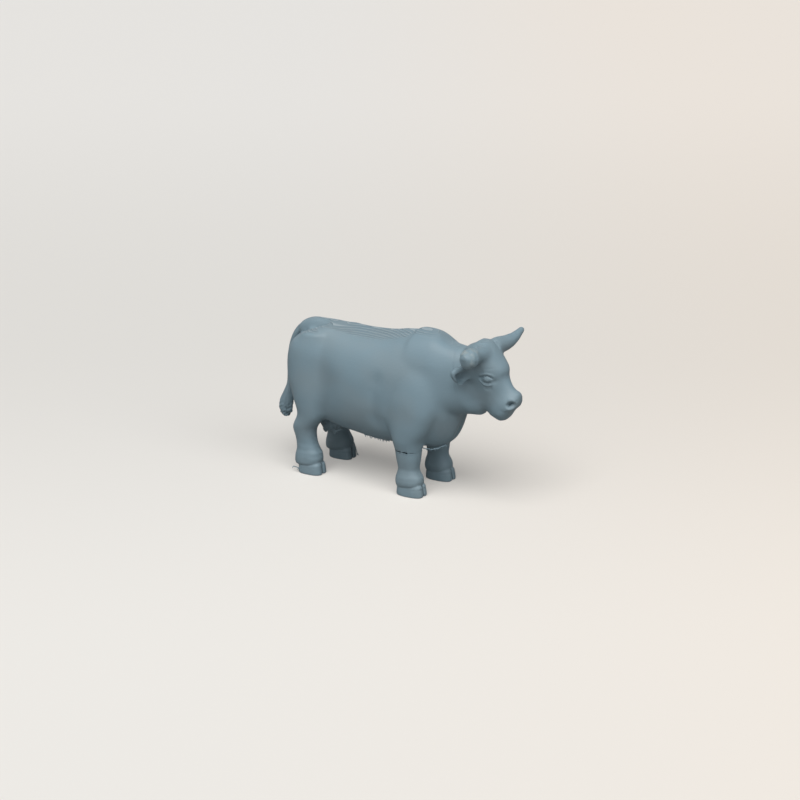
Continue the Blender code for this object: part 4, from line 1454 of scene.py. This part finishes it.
def strings_tree():
    """A wobbling strand along each path, with short tapered strings that hang from it."""
    tree = bpy.data.node_groups.new("hanging_strings", "GeometryNodeTree")
    face = tree.interface
    face.new_socket("Geometry", in_out="INPUT", socket_type="NodeSocketGeometry")
    for name in ("Spacing", "Length", "Radius"):
        face.new_socket(name, in_out="INPUT", socket_type="NodeSocketFloat")
    face.new_socket("Seed", in_out="INPUT", socket_type="NodeSocketInt")
    face.new_socket("Material", in_out="INPUT", socket_type="NodeSocketMaterial")
    face.new_socket("Geometry", in_out="OUTPUT", socket_type="NodeSocketGeometry")

    def node(kind, settings=None, **inputs):
        made = tree.nodes.new(kind)
        for key, value in (settings or {}).items():
            setattr(made, key, value)
        for key, value in inputs.items():
            socket = next(s for s in made.inputs if s.name == key.replace("_", " ") and s.enabled)
            if isinstance(value, bpy.types.NodeSocket):
                tree.links.new(value, socket)
            else:
                socket.default_value = value
        return made

    given = node("NodeGroupInput").outputs
    spacing, length, radius, seed = (given[name] for name in ("Spacing", "Length", "Radius", "Seed"))
    paths = node("GeometryNodeMeshToCurve", Mesh=given["Geometry"]).outputs[0]
    points = node("GeometryNodeResampleCurve", {"mode": "LENGTH"}, Curve=paths, Length=spacing).outputs[0]
    noise = node("ShaderNodeTexNoise", Scale=0.7 / MM, Detail=2.0).outputs["Color"]
    centred = node("ShaderNodeVectorMath", {"operation": "SUBTRACT"})
    tree.links.new(noise, centred.inputs[0])
    centred.inputs[1].default_value = (0.5, 0.5, 0.5)
    wobble = node("ShaderNodeVectorMath", {"operation": "SCALE"}, Scale=0.9 * MM)
    tree.links.new(centred.outputs[0], wobble.inputs[0])
    uneven = node("GeometryNodeSetPosition", Geometry=points, Offset=wobble.outputs[0]).outputs[0]
    section = node("GeometryNodeCurvePrimitiveCircle", Resolution=7, Radius=radius).outputs[0]
    strand = node("GeometryNodeCurveToMesh", Curve=uneven, Profile_Curve=section, Fill_Caps=True).outputs[0]
    thin = node("ShaderNodeMath", {"operation": "MULTIPLY"})
    tree.links.new(radius, thin.inputs[0])
    thin.inputs[1].default_value = 0.35
    string = node(
        "GeometryNodeMeshCone", Vertices=7, Side_Segments=3, Fill_Segments=1,
        Radius_Top=thin.outputs[0], Radius_Bottom=radius, Depth=length).outputs["Mesh"]
    turn = node(
        "FunctionNodeRandomValue", {"data_type": "FLOAT_VECTOR"},
        Min=(2.5, -0.6, 0.0), Max=(3.8, 0.6, 6.28), Seed=seed).outputs[0]
    size = node("FunctionNodeRandomValue", {"data_type": "FLOAT"}, Min=0.35, Max=1.5, Seed=seed)
    size = next(s for s in size.outputs if s.enabled)
    hung = node(
        "GeometryNodeInstanceOnPoints", Points=uneven, Instance=string, Rotation=turn, Scale=size).outputs[0]
    joined = node("GeometryNodeJoinGeometry")
    tree.links.new(strand, joined.inputs[0])
    tree.links.new(hung, joined.inputs[0])
    real = node("GeometryNodeRealizeInstances", Geometry=joined.outputs[0]).outputs[0]
    dressed = node("GeometryNodeSetMaterial", Geometry=real, Material=given["Material"]).outputs[0]
    tree.links.new(dressed, node("NodeGroupOutput").inputs[0])
    return tree


# Paths of stray plastic, from place to place in the figure's own frame: edge of the breast, edge of
# the belly, udder, two down the left hind leg, right hind hoof
BURR_PATHS = (
    ((23.0, -7.6, 17.0), (24.4, -7.2, 16.6), (26.8, -5.6, 16.5), (29.0, -4.0, 16.9), (30.2, -2.4, 17.8)),
    ((0.5, -8.0, 17.8), (1.2, -7.9, 17.5), (4.3, -7.6, 17.1), (7.0, -6.7, 16.7), (9.8, -6.0, 16.4)),
    ((-19.5, -2.2, 16.2), (-18.0, -3.2, 15.9), (-16.2, -3.4, 15.3), (-14.3, -3.4, 14.8), (-12.0, -3.2, 15.7)),
    ((-19.0, 9.6, 11.8), (-17.6, 9.8, 10.1), (-16.4, 9.8, 8.1),
     (-15.6, 9.8, 5.9), (-14.8, 9.8, 3.8), (-14.0, 9.8, 1.8)),
    ((-16.7, 8.8, 9.8), (-15.9, 8.6, 8.1), (-15.1, 8.6, 6.0), (-14.0, 8.8, 3.9)),
    ((-24.4, -12.4, 1.6), (-25.6, -12.8, 1.9), (-26.4, -13.0, 2.0)),
)


class CATTLE_OT_strings(CattleOperator, bpy.types.Operator):
    """Ragged edges and stray strings of plastic left by the printing"""

    bl_idname = "cattle.strings"
    bl_label = "Print strings"

    def execute(self, context):
        group = context.scene.cattle_print
        points, edges = [], []
        for path in BURR_PATHS:
            edges += [(len(points) + i, len(points) + i + 1) for i in range(len(path) - 1)]
            points += [(Vector(place) + frame_shift()) * MM for place in path]
        mesh = bpy.data.meshes.new("print_strings")
        mesh.from_pydata(points, edges, [])
        strings = placed("print_strings", mesh)
        material = printed_plastic("string_plastic", 0.5, 1.1)
        hang = strings.modifiers.new("hang", "NODES")
        hang.node_group = strings_tree()
        values = {
            "Spacing": group.string_spacing, "Length": group.string_length,
            "Radius": group.string_radius, "Seed": group.seed, "Material": material}
        for item in hang.node_group.interface.items_tree:
            if item.in_out == "INPUT" and item.name in values:
                hang[item.identifier] = values[item.name]
        apply_modifiers(strings)
        strings.data.shade_smooth()
        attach(strings, "root")
        return {"FINISHED"}


class CATTLE_OT_dowels(CattleOperator, bpy.types.Operator):
    """Plastic of the hidden dowels"""

    bl_idname = "cattle.dowels"
    bl_label = "Dowels"

    def execute(self, context):
        material = printed_plastic("dowel_plastic", 0.5, 0.8)
        for name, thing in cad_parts.items():
            if "dowel" in name:
                thing.data.materials.clear()
                thing.data.materials.append(material)
        return {"FINISHED"}


# What the camera looks at, in the figure's own frame
LOOK_AT = (10.17, 0.0, 29.63)


def towards(azimuth, elevation):
    """Direction seen from the figure; azimuth from its right side to its nose."""
    flat = math.cos(elevation)
    return Vector((math.sin(azimuth) * flat, -math.cos(azimuth) * flat, math.sin(elevation)))


class CATTLE_OT_stage(CattleOperator, bpy.types.Operator):
    """Pale table, soft light and the camera"""

    bl_idname = "cattle.stage"
    bl_label = "Table, light and camera"

    def execute(self, context):
        scene = context.scene
        group = scene.cattle_stage
        self.table(group)
        self.light(scene, group)
        self.camera(scene, group)
        scene.view_settings.view_transform = "Standard"
        return {"FINISHED"}

    def table(self, group):
        half = group.table_size / 2
        mesh = bpy.data.meshes.new("table")
        corners = [(-half, -half, 0), (half, -half, 0), (half, half, 0), (-half, half, 0)]
        mesh.from_pydata(corners, [], [(0, 1, 2, 3)])
        table = placed("table", mesh)
        material = bpy.data.materials.new("table_paper")
        material.use_nodes = True
        tree = material.node_tree
        shader = tree.nodes["Principled BSDF"]
        shade = Shade(tree)
        place = shade.node("ShaderNodeTexCoord", output="Object")
        away = Vector((-math.sin(group.camera_azimuth), math.cos(group.camera_azimuth), 0))
        depth = shade.vector_math("DOT_PRODUCT", place, away, "Value")
        sideways = shade.vector_math("DOT_PRODUCT", place, away.cross(UP), "Value")
        # Painted light and shade: lighter in front, a darker band behind the figure, lighter again far off
        tint = shade.tint(depth.smoothly(-0.16, 0.17), list(group.table_near), list(group.table_shade_band))
        tint = shade.tint(depth.smoothly(0.20, 0.75), tint, list(group.table_far))
        warm = shade.tint(sideways.smoothly(-0.10, 0.22), (0.985, 0.99, 0.99), list(group.table_warm))
        seen = shade.node("ShaderNodeLightPath", output="Is Camera Ray")
        tint = shade.vector_math("MULTIPLY", tint, warm, "Vector")
        tint = shade.tint(seen, list(group.table_bounce), tint)
        tree.links.new(tint.socket, shader.inputs["Base Color"])
        rough = shade.noise(place, 1.2, 4.0) * 0.02 + 0.85
        tree.links.new(rough.socket, shader.inputs["Roughness"])
        shader.inputs["Specular IOR Level"].default_value = 0.1
        # Painted light: for camera rays a share of the table glows with its own tint, which lightens the
        # shadows cast on it
        glow = shade.node("ShaderNodeEmission", None, {"Color": tint, "Strength": 1.0})
        paper = shade.node("ShaderNodeMixShader", None, {0: seen * group.table_glow, 2: glow})
        tree.links.new(shader.outputs[0], paper.socket.node.inputs[1])
        tree.links.new(paper.socket, tree.nodes["Material Output"].inputs["Surface"])
        mesh.materials.append(material)

    def light(self, scene, group):
        for name in ("key", "cross"):
            lamp = bpy.data.lights.new(name, "SUN")
            lamp.energy = getattr(group, name + "_strength")
            lamp.angle = getattr(group, name + "_softness")
            lamp.color = (1.0, 0.985, 0.965)
            held = placed(name, lamp)
            aim = towards(getattr(group, name + "_azimuth"), getattr(group, name + "_elevation"))
            held.rotation_mode = "QUATERNION"
            held.rotation_quaternion = aim.to_track_quat("Z", "Y")
        world = bpy.data.worlds.new("studio")
        scene.world = world
        world.use_nodes = True
        tree = world.node_tree
        tree.nodes.clear()
        shade = Shade(tree)
        direction = shade.node("ShaderNodeTexCoord", output="Generated")
        fill = tuple(towards(group.fill_azimuth, group.fill_elevation))
        facing = shade.vector_math("DOT_PRODUCT", direction, fill, "Value")
        glossy = shade.node("ShaderNodeLightPath", output="Is Glossy Ray")
        soft = facing.smoothly(0.2, 1.0) * group.fill_strength * (1 - glossy) + glossy * group.gloss_strength
        glow = shade.tint(soft, (0.0, 0.0, 0.0), (0.96, 0.98, 1.0))
        room = shade.node("ShaderNodeBackground", None, {"Color": glow, "Strength": 1.0})
        seen = shade.node("ShaderNodeBackground", None, {"Color": (0.80, 0.78, 0.76, 1.0), "Strength": 1.0})
        camera = shade.node("ShaderNodeLightPath", output="Is Camera Ray")
        both = shade.node("ShaderNodeMixShader", None, {0: camera, 1: room, 2: seen})
        shade.node("ShaderNodeOutputWorld", None, {"Surface": both})

    def camera(self, scene, group):
        camera = placed("camera", bpy.data.cameras.new("camera"))
        back = towards(group.camera_azimuth, group.camera_elevation)
        target = (Vector(LOOK_AT) + frame_shift()) * MM
        camera.location = target + back * group.camera_distance
        camera.rotation_mode = "QUATERNION"
        camera.rotation_quaternion = (-back).to_track_quat("-Z", "Y")
        camera.data.lens = group.lens
        camera.data.sensor_width = 36.0
        camera.data.clip_start = 0.01
        camera.data.clip_end = 20.0
        scene.camera = camera


class CATTLE_OT_tidy_up(CattleOperator, bpy.types.Operator):
    """Removes the working skins that the pieces were made from"""

    bl_idname = "cattle.tidy_up"
    bl_label = "Remove working skins"

    def execute(self, context):
        for skin in whole.values():
            bpy.data.objects.remove(skin)
        whole.clear()
        return {"FINISHED"}


class CATTLE_PT_figure(bpy.types.Panel):
    """Operators of the figure in the sidebar"""

    bl_label = "Cattle Figure"
    bl_idname = "CATTLE_PT_figure"
    bl_space_type = "VIEW_3D"
    bl_region_type = "UI"
    bl_category = "Cattle Figure"

    def draw(self, context):
        for operator in OPERATORS:
            self.layout.operator(operator.bl_idname)
        for name in GROUPS:
            box = self.layout.box()
            group = getattr(context.scene, name)
            for prop in group.bl_rna.properties:
                if prop.identifier not in ("rna_type", "name"):
                    box.prop(group, prop.identifier)


OPERATORS = (
    CATTLE_OT_body,
    CATTLE_OT_legs,
    CATTLE_OT_head,
    CATTLE_OT_horns,
    CATTLE_OT_ears,
    CATTLE_OT_tail,
    CATTLE_OT_udder,
    CATTLE_OT_strings,
    CATTLE_OT_dowels,
    CATTLE_OT_tidy_up,
    CATTLE_OT_stage,
)


def register():
    for kind in (*GROUPS.values(), *OPERATORS, CATTLE_PT_figure):
        bpy.utils.register_class(kind)
    for name, kind in GROUPS.items():
        setattr(bpy.types.Scene, name, PointerProperty(type=kind))


def unregister():
    for name in GROUPS:
        delattr(bpy.types.Scene, name)
    for kind in reversed((*GROUPS.values(), *OPERATORS, CATTLE_PT_figure)):
        bpy.utils.unregister_class(kind)


def main():
    register()
    bpy.ops.cattle.body()
    bpy.ops.cattle.legs()
    bpy.ops.cattle.head()
    bpy.ops.cattle.horns()
    bpy.ops.cattle.ears()
    bpy.ops.cattle.tail()
    bpy.ops.cattle.udder()
    bpy.ops.cattle.strings()
    bpy.ops.cattle.dowels()
    bpy.ops.cattle.tidy_up()
    bpy.ops.cattle.stage()


if __name__ == "__main__":
    main()
